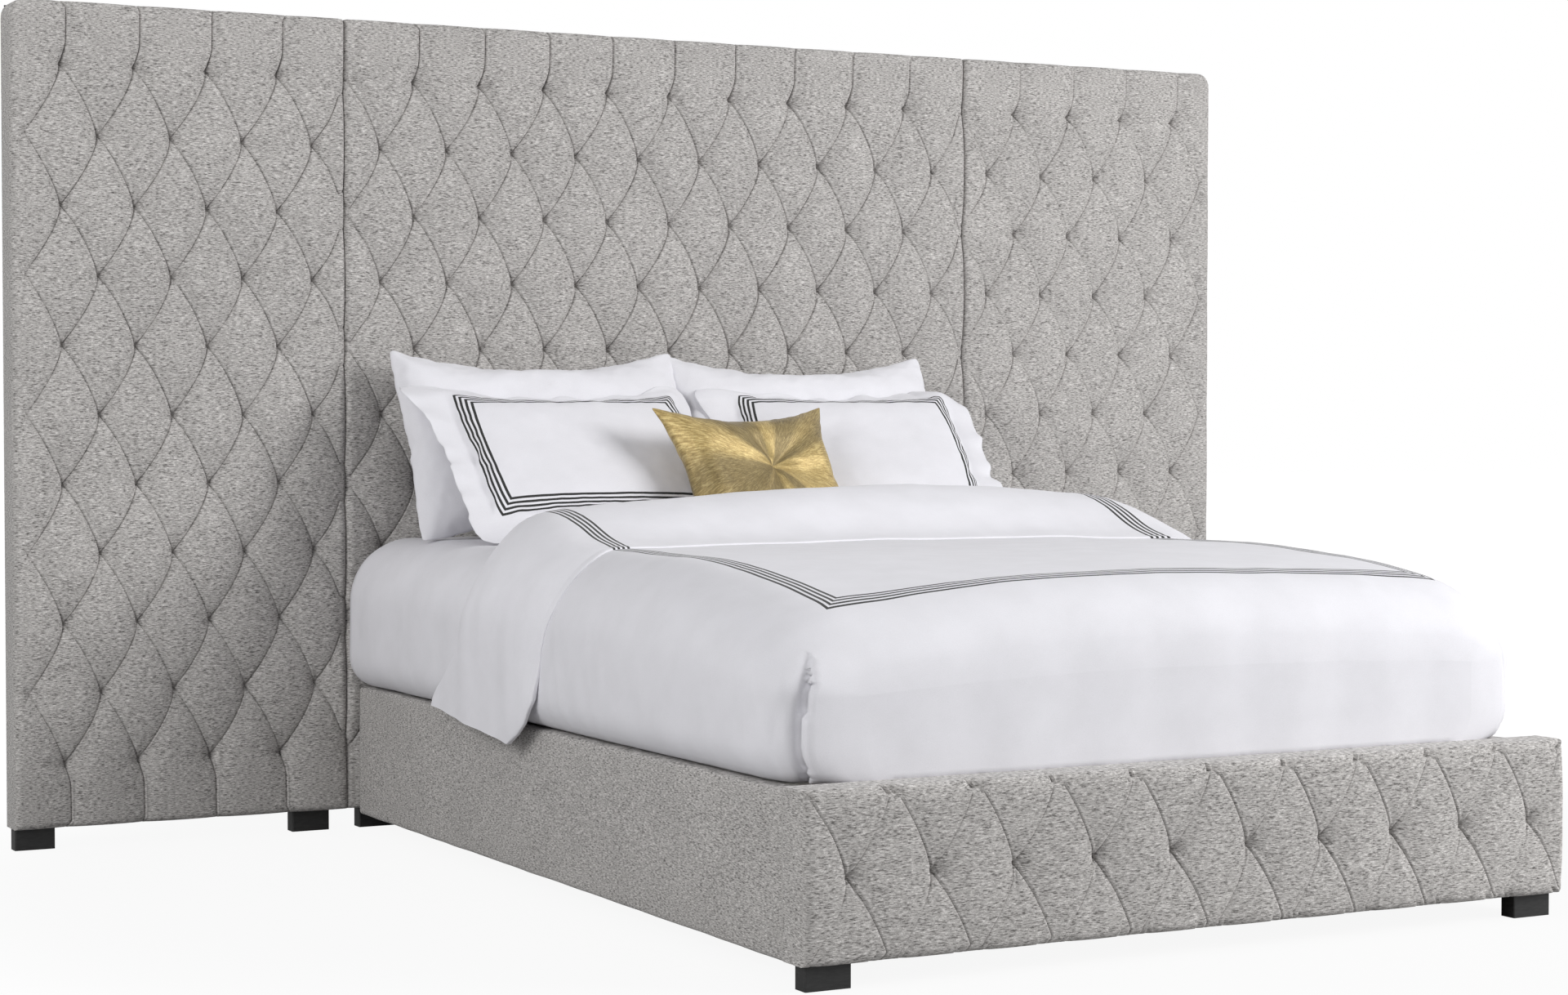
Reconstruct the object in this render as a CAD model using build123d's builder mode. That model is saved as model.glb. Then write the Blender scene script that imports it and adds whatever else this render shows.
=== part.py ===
"""Queen bed with a tall diamond-tufted headboard, two matching side wings, upholstered rails and footboard.

The bed comes apart as it does on a bench: upholstered panels on timber frames, rails on corner brackets,
a slatted base on a centre beam, a box spring, the mattress with its bedding, and the loose pillows.
Millimetres. The origin is the centre of the footprint on the floor, +Y towards the headboard, +Z up.
"""

import os
from math import atan2, cos, degrees, hypot, radians, sin

from build123d import *

os.makedirs("parts", exist_ok=True)

# ---- Driving sizes ----
# Mattress and base
mattress_width = 1524
mattress_length = 2032
mattress_height = 322
mattress_edge_radius = 45
mattress_sink = 15  # how far the mattress sits down between the rails
mattress_side_gap = 8
mattress_end_gap = 44.5
box_spring_height = 127
box_spring_corner_radius = 20

# Headboard, wings and their layers, from the front back
headboard_overhang = 23  # past the rails' outer faces, each side
wing_width = 770
panel_height = 1830
pad_front = 37
face_board = 12
frame_depth = 38
back_cover = 2
side_wrap = 12
frame_member = 120
headboard_cross_rails = 3
panel_corner_radius = 16
panel_edge_radius = 14
cover_margin = 8

# Diamond tufting
tuft_pitch = 166
tuft_row_height = 155
tuft_rows = 11
lowest_tuft_height = 190
pleat_width = 18
pleat_depth = 7
tuft_pit_radius = 15
tuft_pit_depth = 13
tuft_edge_gap = 35  # no tuft comes nearer to a panel's side than this

# Footboard
footboard_overhang = 17  # past the rails' outer faces, each side
footboard_height = 297
footboard_front_pad = 43
footboard_core_depth = 38
footboard_back_pad = 19
footboard_edge_radius = 20
footboard_top_wrap = 16

# Side rails
rail_height = 297
rail_floor_gap = 36
rail_board = 25
rail_pad = 20
rail_wrap = 12
rail_edge_radius = 9
cleat_size = 38

# Feet
foot_width = 89
foot_depth = 38
foot_edge_radius = 3
foot_setback = 30
panel_foot_height = 48
footboard_foot_height = 45
headboard_foot_inset = 36
wing_outer_foot_inset = 4
wing_inner_foot_inset = 38
footboard_foot_inset = 13
foot_bolt_setback = 27  # from the foot's front face to the bolt's axis
foot_bolt_radius = 4
foot_bolt_head_radius = 7
foot_bolt_head_height = 5
foot_bolt_reach = 50  # above the foot
foot_counterbore_depth = 14

# Slatted base
slat_width = 89
slat_thickness = 19
slat_count = 8
slat_end_clearance = 6
beam_width = 38
beam_height = 89
centre_leg_size = 38
centre_leg_count = 3
centre_leg_pitch = 620
glide_radius = 18
glide_height = 6
glide_stem_radius = 5
glide_stem_reach = 35
glide_gap = 12  # left under the leg when the glide is screwed right out
glide_clearance = 0.05

# Corner brackets and their fastenings
bracket_height = 220
bracket_lift = 30  # above the rail's lower edge
bracket_rail_leg = 60
bracket_panel_leg = 56
bracket_thickness = 4
bracket_web_height = 40  # above the bracket's lower end
bracket_bolt_radius = 4
bracket_bolt_head_radius = 7
bracket_bolt_head_height = 5
headboard_bolt_length = 72
footboard_bolt_length = 54
bracket_bolt_inset = 40  # from the bracket's lower and upper ends
bracket_screw_radius = 2.5
bracket_screw_head_radius = 5
bracket_screw_head_height = 2
bracket_screw_length = 22
bracket_screw_inset = 25

# Hangers of the centre beam
hanger_sheet = 3
hanger_depth = 45
hanger_flange_width = 80
hanger_height = 70

# Plates that join the wings to the headboard
joining_plate_length = 160
joining_plate_height = 60
joining_plate_thickness = 4
joining_plate_rows = 3
joining_plate_pitch = 600
joining_screw_radius = 3
joining_screw_head_radius = 6
joining_screw_head_height = 3
joining_screw_length = 30
joining_screw_spacing_x = 110
joining_screw_spacing_z = 34

# Bedding: overhangs are past the rails' outer faces, lofts are above what lies below
comforter_overhang = 37
comforter_loft = 40
comforter_foot_overhang = 11
comforter_foot_loft = 20
duvet_overhang = 27
duvet_loft = 30
duvet_start = 800  # headboard to where the duvet comes out from under its own fold
duvet_over_footboard = 18
duvet_front_radius = 60
fold_back = 640
fold_front = 1020
fold_overhang = 41
fold_loft = 100  # at its crest
fold_crest = 90  # back edge to crest
fold_front_loft = 22
fold_upper_radius = 170
flap_drop = 40  # below the rail's top edge
flap_thickness = 14
flap_nose = 70
bedding_rail_gap = 2
bedding_lower_radius = 68
bedding_upper_radius = 110
bedding_head_gap = 12
bedding_foot_gap = 3

# Pillows
pillow_lean = 30
pillow_corner_radius = 40
pillow_rim = 12
pillow_crown_share = 0.55
rear_pillow_width = 690
rear_pillow_height = 440
rear_pillow_thickness = 118
rear_pillow_setback = 288
rear_pillow_left_x = -397
rear_pillow_right_x = 305
sham_width = 725
sham_height = 400
sham_thickness = 104
sham_setback = 418
sham_left_x = -428
sham_right_x = 338
cushion_width = 450
cushion_height = 325
cushion_thickness = 104
cushion_setback = 575
cushion_x = -30

fit_clearance = 0.3

# ---- Places worked out from the sizes ----
rail_length = mattress_length + 2 * mattress_end_gap
rail_inner_x = mattress_width / 2 + mattress_side_gap
rail_board_x = rail_inner_x + rail_board
rail_outer_x = rail_board_x + rail_pad
seam_x = rail_outer_x + headboard_overhang
headboard_width = 2 * seam_x
footboard_width = 2 * (rail_outer_x + footboard_overhang)
panel_thickness = pad_front + face_board + frame_depth + back_cover
hardware_thickness = joining_plate_thickness + joining_screw_head_height
footboard_thickness = footboard_front_pad + footboard_core_depth + footboard_back_pad
total_depth = footboard_thickness + rail_length + panel_thickness + hardware_thickness

head_y = total_depth / 2 - hardware_thickness - panel_thickness  # front face of the headboard
foot_y = head_y - rail_length  # back face of the footboard
front_y = foot_y - footboard_thickness  # front face of the footboard
middle_y = (head_y + foot_y) / 2
board_y = head_y + pad_front
frame_y = board_y + face_board
cover_y = frame_y + frame_depth
panel_back_y = cover_y + back_cover
panel_middle_z = panel_foot_height + panel_height / 2
panel_top_z = panel_foot_height + panel_height

rail_top_z = rail_floor_gap + rail_height
mattress_z = rail_top_z - mattress_sink
box_spring_z = mattress_z - box_spring_height
slat_z = box_spring_z - slat_thickness
beam_z = slat_z - beam_height
centre_leg_z = glide_height + glide_gap
highest_tuft_height = lowest_tuft_height + (tuft_rows - 1) * tuft_row_height
bracket_z = rail_floor_gap + bracket_lift
bedding_z = rail_top_z + bedding_rail_gap
comforter_top_z = mattress_z + mattress_height + comforter_loft
comforter_foot_top_z = mattress_z + mattress_height + comforter_foot_loft
duvet_top_z = comforter_foot_top_z + duvet_loft
fold_top_z = duvet_top_z + fold_loft

bracket_bolt_x = rail_inner_x - bracket_thickness - bracket_panel_leg / 2
bracket_bolt_heights = [
    bracket_z + bracket_bolt_inset,
    bracket_z + bracket_height - bracket_bolt_inset,
]
bracket_screw_heights = [
    bracket_z + bracket_screw_inset,
    bracket_z + bracket_height / 2,
    bracket_z + bracket_height - bracket_screw_inset,
]
bracket_screw_y = head_y - bracket_thickness - (bracket_rail_leg - bracket_thickness) / 2
joining_plate_heights = [panel_middle_z + (i - (joining_plate_rows - 1) / 2) * joining_plate_pitch
                         for i in range(joining_plate_rows)]


def save(piece, name):
    """Labels one finished piece and writes it."""
    piece.label = name
    export_step(piece, f"parts/{name}.step")


# ---- Tufting tools: one long V for the pleats and one cone for the pulled-in tufts ----
pleat_slope = degrees(atan2(tuft_pitch / 2, tuft_row_height))
tufted_height = (tuft_rows - 1) * tuft_row_height


def pleat_tool(length):
    """A V-shaped prism that stands upright, its edge pointing back into the pad."""
    with BuildPart() as tool:
        with BuildSketch(Plane.XY):
            with BuildLine():
                Polyline((-pleat_width / 2, 0), (0, pleat_depth), (pleat_width / 2, 0),
                         (pleat_width / 2, -5), (-pleat_width / 2, -5), close=True)
            make_face()
        extrude(amount=length / 2, both=True)
    return tool.part


with BuildPart() as tuft_pit:
    Cone(bottom_radius=tuft_pit_radius, top_radius=1, height=tuft_pit_depth,
         rotation=(-90, 0, 0), align=(Align.CENTER, Align.CENTER, Align.MIN))


def lattice_columns(left_x, right_x, shift):
    """Places along X of the tufts in one row that fall between two edges."""
    reach = int(max(abs(left_x), abs(right_x)) / tuft_pitch) + 2
    columns = [tuft_pitch * (k + shift) for k in range(-reach, reach + 1)]
    return [x for x in columns if left_x < x < right_x]


def tuft_places(left_x, right_x):
    """Every tuft of a tall panel: whole pitches on odd rows, half pitches on even rows."""
    return [(x, lowest_tuft_height + row * tuft_row_height)
            for row in range(tuft_rows)
            for x in lattice_columns(left_x + tuft_edge_gap, right_x - tuft_edge_gap,
                                     0 if row % 2 == 0 else 0.5)]


def pleat_locations(left_x, right_x, y):
    """The diagonal pleats that cross a tall panel, both ways."""
    middle_z = lowest_tuft_height + tufted_height / 2
    lean = tuft_pitch / 2 * (tuft_rows - 1) / 2
    shift = 0 if ((tuft_rows - 1) // 2) % 2 == 0 else 0.5
    columns = lattice_columns(left_x - lean, right_x + lean, shift)
    return [Location((x, y, middle_z), (0, way * pleat_slope, 0)) for x in columns for way in (-1, 1)]


# ---- Tall upholstered panels: the headboard and its two wings ----
def tall_panel(name, centre_x, width, foot_centres, cross_rails, takes_brackets):
    """One panel: tufted pad, face board, timber frame, back cover and its two feet."""
    left_x = centre_x - width / 2
    right_x = centre_x + width / 2
    core_width = width - 2 * side_wrap
    core_height = panel_height - 2 * side_wrap
    foot_bolt_y = head_y + foot_setback + foot_bolt_setback
    bolt_holes = [(side * bracket_bolt_x, z) for side in (-1, 1) for z in bracket_bolt_heights]
    screw_centres = [(seam + dx, z + dz)
                     for seam in (-seam_x, seam_x)
                     for z in joining_plate_heights
                     for dx in (-joining_screw_spacing_x / 2, joining_screw_spacing_x / 2)
                     for dz in (-joining_screw_spacing_z / 2, joining_screw_spacing_z / 2)
                     if left_x < seam + dx < right_x]

    bay_height = (core_height - (cross_rails + 2) * frame_member) / (cross_rails + 1)
    with BuildPart() as frame:
        with BuildSketch(Plane.XZ.offset(-cover_y)):
            with Locations((centre_x, panel_middle_z)):
                Rectangle(core_width, core_height)
                with GridLocations(0, bay_height + frame_member, 1, cross_rails + 1):
                    Rectangle(core_width - 2 * frame_member, bay_height, mode=Mode.SUBTRACT)
            if takes_brackets:
                with Locations(*bolt_holes):
                    Circle(bracket_bolt_radius + fit_clearance, mode=Mode.SUBTRACT)
        extrude(amount=frame_depth)
        with BuildSketch(Plane.XZ.offset(-cover_y)):
            with Locations(*screw_centres):
                Circle(joining_screw_radius + fit_clearance)
        extrude(amount=joining_screw_length, mode=Mode.SUBTRACT)
        with Locations(*[(x, foot_bolt_y, panel_foot_height + side_wrap) for x in foot_centres]):
            Cylinder(foot_bolt_radius + fit_clearance, foot_bolt_reach,
                     align=(Align.CENTER, Align.CENTER, Align.MIN), mode=Mode.SUBTRACT)
    save(frame.part, f"{name}_frame")

    with BuildPart() as board:
        with BuildSketch(Plane.XZ.offset(-frame_y)):
            with Locations((centre_x, panel_middle_z)):
                Rectangle(core_width, core_height)
            if takes_brackets:
                with Locations(*bolt_holes):
                    Circle(bracket_bolt_radius + fit_clearance, mode=Mode.SUBTRACT)
        extrude(amount=face_board)
    save(board.part, f"{name}_face_board")

    upright_length = panel_top_z - highest_tuft_height + 2 * pleat_depth
    lower_length = lowest_tuft_height - panel_foot_height + 2 * pleat_depth
    odd_columns = lattice_columns(left_x + pleat_width, right_x - pleat_width, 0)
    with BuildPart() as pad:
        with BuildSketch(Plane.XZ.offset(-cover_y)):
            with Locations((centre_x, panel_middle_z)):
                RectangleRounded(width, panel_height, panel_corner_radius)
        extrude(amount=pad_front + face_board + frame_depth)
        fillet(pad.faces().sort_by(Axis.Y)[0].edges(), panel_edge_radius)
        with BuildSketch(Plane.XZ.offset(-cover_y)):
            with Locations((centre_x, panel_middle_z)):
                Rectangle(core_width, core_height)
        extrude(amount=face_board + frame_depth, mode=Mode.SUBTRACT)
        with Locations(*pleat_locations(left_x, right_x, head_y)):
            add(pleat_tool(hypot(tufted_height, tuft_pitch / 2 * (tuft_rows - 1))), mode=Mode.SUBTRACT)
        with Locations(*[(x, head_y, highest_tuft_height + upright_length / 2) for x in odd_columns]):
            add(pleat_tool(upright_length), mode=Mode.SUBTRACT)
        with Locations(*[(x, head_y, lowest_tuft_height - lower_length / 2) for x in odd_columns]):
            add(pleat_tool(lower_length), mode=Mode.SUBTRACT)
        with Locations(*[(x, head_y, z) for x, z in tuft_places(left_x, right_x)]):
            add(tuft_pit.part, mode=Mode.SUBTRACT)
        if takes_brackets:
            with BuildSketch(Plane.XZ.offset(-board_y)):
                with Locations(*bolt_holes):
                    Circle(bracket_bolt_radius + fit_clearance)
            extrude(amount=pad_front, mode=Mode.SUBTRACT)
        with Locations(*[(x, foot_bolt_y, panel_foot_height) for x in foot_centres]):
            Cylinder(foot_bolt_radius + fit_clearance, side_wrap,
                     align=(Align.CENTER, Align.CENTER, Align.MIN), mode=Mode.SUBTRACT)
    save(pad.part, f"{name}_pad")

    with BuildPart() as cover:
        with BuildSketch(Plane.XZ.offset(-panel_back_y)):
            with Locations((centre_x, panel_middle_z)):
                Rectangle(width - 2 * cover_margin, panel_height - 2 * cover_margin)
            with Locations(*screw_centres):
                Circle(joining_screw_radius + fit_clearance, mode=Mode.SUBTRACT)
        extrude(amount=back_cover)
    save(cover.part, f"{name}_back_cover")

    block_feet(f"{name}_feet", foot_centres, head_y + foot_setback, panel_foot_height)


def block_feet(name, centres, y, height):
    """Black-painted timber block feet, each bored from below for its bolt."""
    with BuildPart() as feet:
        with BuildSketch(Plane.XY):
            with Locations(*[(x, y + foot_depth / 2) for x in centres]):
                RectangleRounded(foot_width, foot_depth, foot_edge_radius)
        extrude(amount=height)
        with Locations(*[(x, y + foot_bolt_setback, 0) for x in centres]):
            Cylinder(foot_bolt_radius + fit_clearance, height,
                     align=(Align.CENTER, Align.CENTER, Align.MIN), mode=Mode.SUBTRACT)
            Cylinder(foot_bolt_head_radius + 1, foot_counterbore_depth,
                     align=(Align.CENTER, Align.CENTER, Align.MIN), mode=Mode.SUBTRACT)
    save(feet.part, name)


headboard_foot_x = seam_x - headboard_foot_inset - foot_width / 2
wing_inner_foot_x = seam_x + wing_inner_foot_inset + foot_width / 2
wing_outer_foot_x = seam_x + wing_width - wing_outer_foot_inset - foot_width / 2
wing_centre_x = seam_x + wing_width / 2
footboard_foot_x = footboard_width / 2 - footboard_foot_inset - foot_width / 2

tall_panel("headboard", 0, headboard_width, [-headboard_foot_x, headboard_foot_x],
           headboard_cross_rails, True)
tall_panel("left_wing", -wing_centre_x, wing_width, [-wing_outer_foot_x, -wing_inner_foot_x],
           headboard_cross_rails, False)
tall_panel("right_wing", wing_centre_x, wing_width, [wing_inner_foot_x, wing_outer_foot_x],
           headboard_cross_rails, False)

# ---- Plates and screws that join the wings to the headboard, across the seams at the back ----
plate_centres = [(side * seam_x, z) for side in (-1, 1) for z in joining_plate_heights]
with BuildPart() as wing_joining_plates:
    with BuildSketch(Plane.XZ.offset(-panel_back_y - joining_plate_thickness)):
        with Locations(*plate_centres):
            RectangleRounded(joining_plate_length, joining_plate_height, 8)
            with GridLocations(joining_screw_spacing_x, joining_screw_spacing_z, 2, 2):
                Circle(joining_screw_radius + fit_clearance, mode=Mode.SUBTRACT)
    extrude(amount=joining_plate_thickness)
save(wing_joining_plates.part, "wing_joining_plates")

# ---- Footboard: timber core, pad round its front, top, ends and back, and two feet ----
footboard_core_y = foot_y - footboard_back_pad  # back face of the core
footboard_core_height = footboard_height - footboard_top_wrap
footboard_middle_z = footboard_foot_height + footboard_height / 2
footboard_bolt_y = front_y + foot_setback + foot_bolt_setback
footboard_bolt_holes = [(side * bracket_bolt_x, z) for side in (-1, 1) for z in bracket_bolt_heights]
with BuildPart() as footboard_core:
    with BuildSketch(Plane.XZ.offset(-footboard_core_y)):
        with Locations((0, footboard_foot_height + footboard_core_height / 2)):
            Rectangle(footboard_width - 2 * side_wrap, footboard_core_height)
        with Locations(*footboard_bolt_holes):
            Circle(bracket_bolt_radius + fit_clearance, mode=Mode.SUBTRACT)
    extrude(amount=footboard_core_depth)
    with Locations((-footboard_foot_x, footboard_bolt_y, footboard_foot_height),
                   (footboard_foot_x, footboard_bolt_y, footboard_foot_height)):
        Cylinder(foot_bolt_radius + fit_clearance, foot_bolt_reach,
                 align=(Align.CENTER, Align.CENTER, Align.MIN), mode=Mode.SUBTRACT)
save(footboard_core.part, "footboard_core")

footboard_columns = lattice_columns(-footboard_width / 2, footboard_width / 2, 0.5)
with BuildPart() as footboard_pad:
    with Locations((0, foot_y - footboard_thickness / 2, footboard_middle_z)):
        Box(footboard_width, footboard_thickness, footboard_height)
    fillet(footboard_pad.edges().filter_by(Axis.Z), footboard_edge_radius)
    fillet(footboard_pad.faces().sort_by(Axis.Z)[-1].edges(), footboard_edge_radius)
    with BuildSketch(Plane.XZ.offset(-footboard_core_y)):
        with Locations((0, footboard_foot_height + footboard_core_height / 2)):
            Rectangle(footboard_width - 2 * side_wrap, footboard_core_height)
    extrude(amount=footboard_core_depth, mode=Mode.SUBTRACT)
    with Locations(*[Location((x, front_y, lowest_tuft_height), (0, way * pleat_slope, 0))
                     for x in footboard_columns for way in (-1, 1)]):
        add(pleat_tool(2 * hypot(tuft_row_height, tuft_pitch / 2)), mode=Mode.SUBTRACT)
    with Locations(*[(x, front_y, lowest_tuft_height) for x in footboard_columns]):
        add(tuft_pit.part, mode=Mode.SUBTRACT)
    with BuildSketch(Plane.XZ.offset(-foot_y)):
        with Locations(*footboard_bolt_holes):
            Circle(bracket_bolt_radius + fit_clearance)
    extrude(amount=footboard_back_pad, mode=Mode.SUBTRACT)
save(footboard_pad.part, "footboard_pad")
block_feet("footboard_feet", [-footboard_foot_x, footboard_foot_x], front_y + foot_setback,
           footboard_foot_height)


# ---- Bolts that hold the feet, with their heads up in the counterbores ----
def foot_bolt_places():
    """Centre of each foot bolt on the floor plane, with the height of its foot."""
    tall_x = [headboard_foot_x, wing_inner_foot_x, wing_outer_foot_x]
    tall_y = head_y + foot_setback + foot_bolt_setback
    tall = [(side * x, tall_y, panel_foot_height) for x in tall_x for side in (-1, 1)]
    short = [(side * footboard_foot_x, footboard_bolt_y, footboard_foot_height) for side in (-1, 1)]
    return tall + short


with BuildPart() as foot_bolts:
    for x, y, height in foot_bolt_places():
        with Locations((x, y, foot_counterbore_depth)):
            Cylinder(foot_bolt_radius, height - foot_counterbore_depth + foot_bolt_reach - 1,
                     align=(Align.CENTER, Align.CENTER, Align.MIN))
            Cylinder(foot_bolt_head_radius, foot_bolt_head_height,
                     align=(Align.CENTER, Align.CENTER, Align.MAX))
save(foot_bolts.part, "foot_bolts")

# ---- Side rails: board, upholstered cover open to the inside, and ledger cleat ----
for side, name in ((-1, "left"), (1, "right")):
    with BuildPart() as board:
        with Locations((side * (rail_inner_x + rail_board / 2), middle_y, rail_floor_gap + rail_height / 2)):
            Box(rail_board, rail_length, rail_height - 2 * rail_wrap)
        with Locations(*[Location((side * rail_inner_x, y, z), (0, side * 90, 0))
                         for y in (bracket_screw_y, 2 * middle_y - bracket_screw_y)
                         for z in bracket_screw_heights]):
            Cylinder(bracket_screw_radius + fit_clearance, bracket_screw_length - bracket_thickness + 1,
                     align=(Align.CENTER, Align.CENTER, Align.MIN), mode=Mode.SUBTRACT)
    save(board.part, f"{name}_rail_board")

    with BuildPart() as rail_cover:
        with Locations((side * (rail_inner_x + rail_outer_x) / 2, middle_y,
                        rail_floor_gap + rail_height / 2)):
            Box(rail_board + rail_pad, rail_length, rail_height)
        outer_face = rail_cover.faces().sort_by(Axis.X)[0 if side < 0 else -1]
        fillet(outer_face.edges().filter_by(Axis.Y), rail_edge_radius)
        with Locations((side * (rail_inner_x + rail_board / 2), middle_y,
                        rail_floor_gap + rail_height / 2)):
            Box(rail_board, rail_length, rail_height - 2 * rail_wrap, mode=Mode.SUBTRACT)
    save(rail_cover.part, f"{name}_rail_pad")

    with BuildPart() as cleat:
        with Locations((side * (rail_inner_x - cleat_size / 2), middle_y, slat_z - cleat_size / 2)):
            Box(cleat_size, rail_length - 2 * bracket_rail_leg - 4, cleat_size)
        chamfer(cleat.edges().filter_by(Axis.Y), 2)
    save(cleat.part, f"{name}_rail_cleat")

# ---- Corner brackets: bent steel angles with a web, bolted to the panels and screwed to the rails ----
with BuildPart() as corner_brackets:
    with BuildSketch(Plane.XY.offset(bracket_z)):
        with BuildLine():
            Polyline((rail_inner_x, head_y),
                     (rail_inner_x, head_y - bracket_rail_leg),
                     (rail_inner_x - bracket_thickness, head_y - bracket_rail_leg),
                     (rail_inner_x - bracket_thickness, head_y - bracket_thickness),
                     (rail_inner_x - bracket_thickness - bracket_panel_leg, head_y - bracket_thickness),
                     (rail_inner_x - bracket_thickness - bracket_panel_leg, head_y), close=True)
        make_face()
    extrude(amount=bracket_height)
    with BuildSketch(Plane.XY.offset(bracket_z + bracket_web_height + bracket_bolt_inset)):
        with BuildLine():
            Polyline((rail_inner_x - bracket_thickness, head_y - bracket_thickness),
                     (rail_inner_x - bracket_thickness, head_y - bracket_rail_leg),
                     (rail_inner_x - bracket_thickness - bracket_panel_leg, head_y - bracket_thickness),
                     close=True)
        make_face()
    extrude(amount=-bracket_thickness)
    with Locations(*[Location((bracket_bolt_x, head_y, z), (90, 0, 0)) for z in bracket_bolt_heights]):
        Cylinder(bracket_bolt_radius + fit_clearance, bracket_thickness,
                 align=(Align.CENTER, Align.CENTER, Align.MIN), mode=Mode.SUBTRACT)
    with Locations(*[Location((rail_inner_x, bracket_screw_y, z), (0, -90, 0))
                     for z in bracket_screw_heights]):
        Cylinder(bracket_screw_radius + fit_clearance, bracket_thickness,
                 align=(Align.CENTER, Align.CENTER, Align.MIN), mode=Mode.SUBTRACT)
    mirror(about=Plane.YZ)
    mirror(about=Plane.XZ.offset(-middle_y))
save(corner_brackets.part, "corner_brackets")

with BuildPart() as bracket_bolts:
    for face_y, way, length in ((head_y, 1, headboard_bolt_length), (foot_y, -1, footboard_bolt_length)):
        with Locations(*[Location((side * bracket_bolt_x, face_y - way * bracket_thickness, z),
                                  (-way * 90, 0, 0))
                         for side in (-1, 1) for z in bracket_bolt_heights]):
            Cylinder(bracket_bolt_radius, length, align=(Align.CENTER, Align.CENTER, Align.MIN))
            Cylinder(bracket_bolt_head_radius, bracket_bolt_head_height,
                     align=(Align.CENTER, Align.CENTER, Align.MAX))
save(bracket_bolts.part, "bracket_bolts")

with BuildPart() as bracket_screws:
    for side in (-1, 1):
        with Locations(*[Location((side * (rail_inner_x - bracket_thickness), y, z), (0, side * 90, 0))
                         for y in (bracket_screw_y, 2 * middle_y - bracket_screw_y)
                         for z in bracket_screw_heights]):
            Cylinder(bracket_screw_radius, bracket_screw_length,
                     align=(Align.CENTER, Align.CENTER, Align.MIN))
            Cylinder(bracket_screw_head_radius, bracket_screw_head_height,
                     align=(Align.CENTER, Align.CENTER, Align.MAX))
save(bracket_screws.part, "bracket_screws")

with BuildPart() as joining_screws:
    plate_y = panel_back_y + joining_plate_thickness
    with Locations(*[Location((x, plate_y, z), (90, 0, 0)) for x, z in plate_centres]):
        with GridLocations(joining_screw_spacing_x, joining_screw_spacing_z, 2, 2):
            Cylinder(joining_screw_radius, joining_screw_length,
                     align=(Align.CENTER, Align.CENTER, Align.MIN))
            Cylinder(joining_screw_head_radius, joining_screw_head_height,
                     align=(Align.CENTER, Align.CENTER, Align.MAX))
save(joining_screws.part, "joining_screws")

# ---- Centre beam on edge, its two sheet-steel hangers, three legs and their screw-in glides ----
with BuildPart() as centre_beam:
    with Locations((0, middle_y, beam_z + beam_height / 2)):
        Box(beam_width, rail_length - 2 * hanger_sheet, beam_height)
save(centre_beam.part, "centre_beam")

with BuildPart() as beam_hangers:
    with BuildSketch(Plane.XZ.offset(-head_y)):
        with Locations((0, beam_z - hanger_sheet + hanger_height / 2)):
            Rectangle(hanger_flange_width, hanger_height)
    extrude(amount=hanger_sheet)
    with BuildSketch(Plane.XZ.offset(-head_y + hanger_sheet)):
        with Locations((0, beam_z - hanger_sheet + hanger_height / 2)):
            Rectangle(beam_width + 2 * fit_clearance + 2 * hanger_sheet, hanger_height)
        with Locations((0, beam_z + hanger_height / 2)):
            Rectangle(beam_width + 2 * fit_clearance, hanger_height, mode=Mode.SUBTRACT)
    extrude(amount=hanger_depth)
    mirror(about=Plane.XZ.offset(-middle_y))
save(beam_hangers.part, "beam_hangers")

centre_leg_places = [middle_y + (i - (centre_leg_count - 1) / 2) * centre_leg_pitch
                     for i in range(centre_leg_count)]
with BuildPart() as centre_legs:
    with Locations(*[(0, y, centre_leg_z) for y in centre_leg_places]):
        Box(centre_leg_size, centre_leg_size, beam_z - centre_leg_z,
            align=(Align.CENTER, Align.CENTER, Align.MIN))
    fillet(centre_legs.edges().filter_by(Axis.Z), 2)
    with Locations(*[(0, y, centre_leg_z) for y in centre_leg_places]):
        Cylinder(glide_stem_radius + glide_clearance, glide_stem_reach + glide_gap,
                 align=(Align.CENTER, Align.CENTER, Align.MIN), mode=Mode.SUBTRACT)
save(centre_legs.part, "centre_legs")

for number, y in enumerate(centre_leg_places, start=1):
    with BuildPart() as glide:
        with Locations((0, y, 0)):
            Cylinder(glide_radius, glide_height, align=(Align.CENTER, Align.CENTER, Align.MIN))
            Cylinder(glide_stem_radius, centre_leg_z + glide_stem_reach,
                     align=(Align.CENTER, Align.CENTER, Align.MIN))
        chamfer(glide.edges().group_by(Axis.Z)[0], 1)
    save(glide.part, f"centre_glide_{number}")

# ---- Slats across the cleats and the beam ----
slat_pitch = (mattress_length - slat_width) / (slat_count - 1)
for number in range(slat_count):
    slat_y = middle_y + (number - (slat_count - 1) / 2) * slat_pitch
    with BuildPart() as slat:
        with Locations((0, slat_y, slat_z + slat_thickness / 2)):
            Box(2 * (rail_inner_x - slat_end_clearance), slat_width, slat_thickness)
        chamfer(slat.edges().filter_by(Axis.X), 1.5)
    save(slat.part, f"slat_{number + 1}")

# ---- Box spring and mattress ----
with BuildPart() as box_spring:
    with BuildSketch(Plane.XY.offset(box_spring_z)):
        with Locations((0, middle_y)):
            RectangleRounded(mattress_width, mattress_length, box_spring_corner_radius)
    extrude(amount=box_spring_height)
save(box_spring.part, "box_spring")

with BuildPart() as mattress:
    with BuildSketch(Plane.XY.offset(mattress_z)):
        with Locations((0, middle_y)):
            RectangleRounded(mattress_width, mattress_length, mattress_edge_radius)
    extrude(amount=mattress_height)
    fillet(mattress.faces().sort_by(Axis.Z)[-1].edges(), mattress_edge_radius / 2)
save(mattress.part, "mattress")


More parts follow.
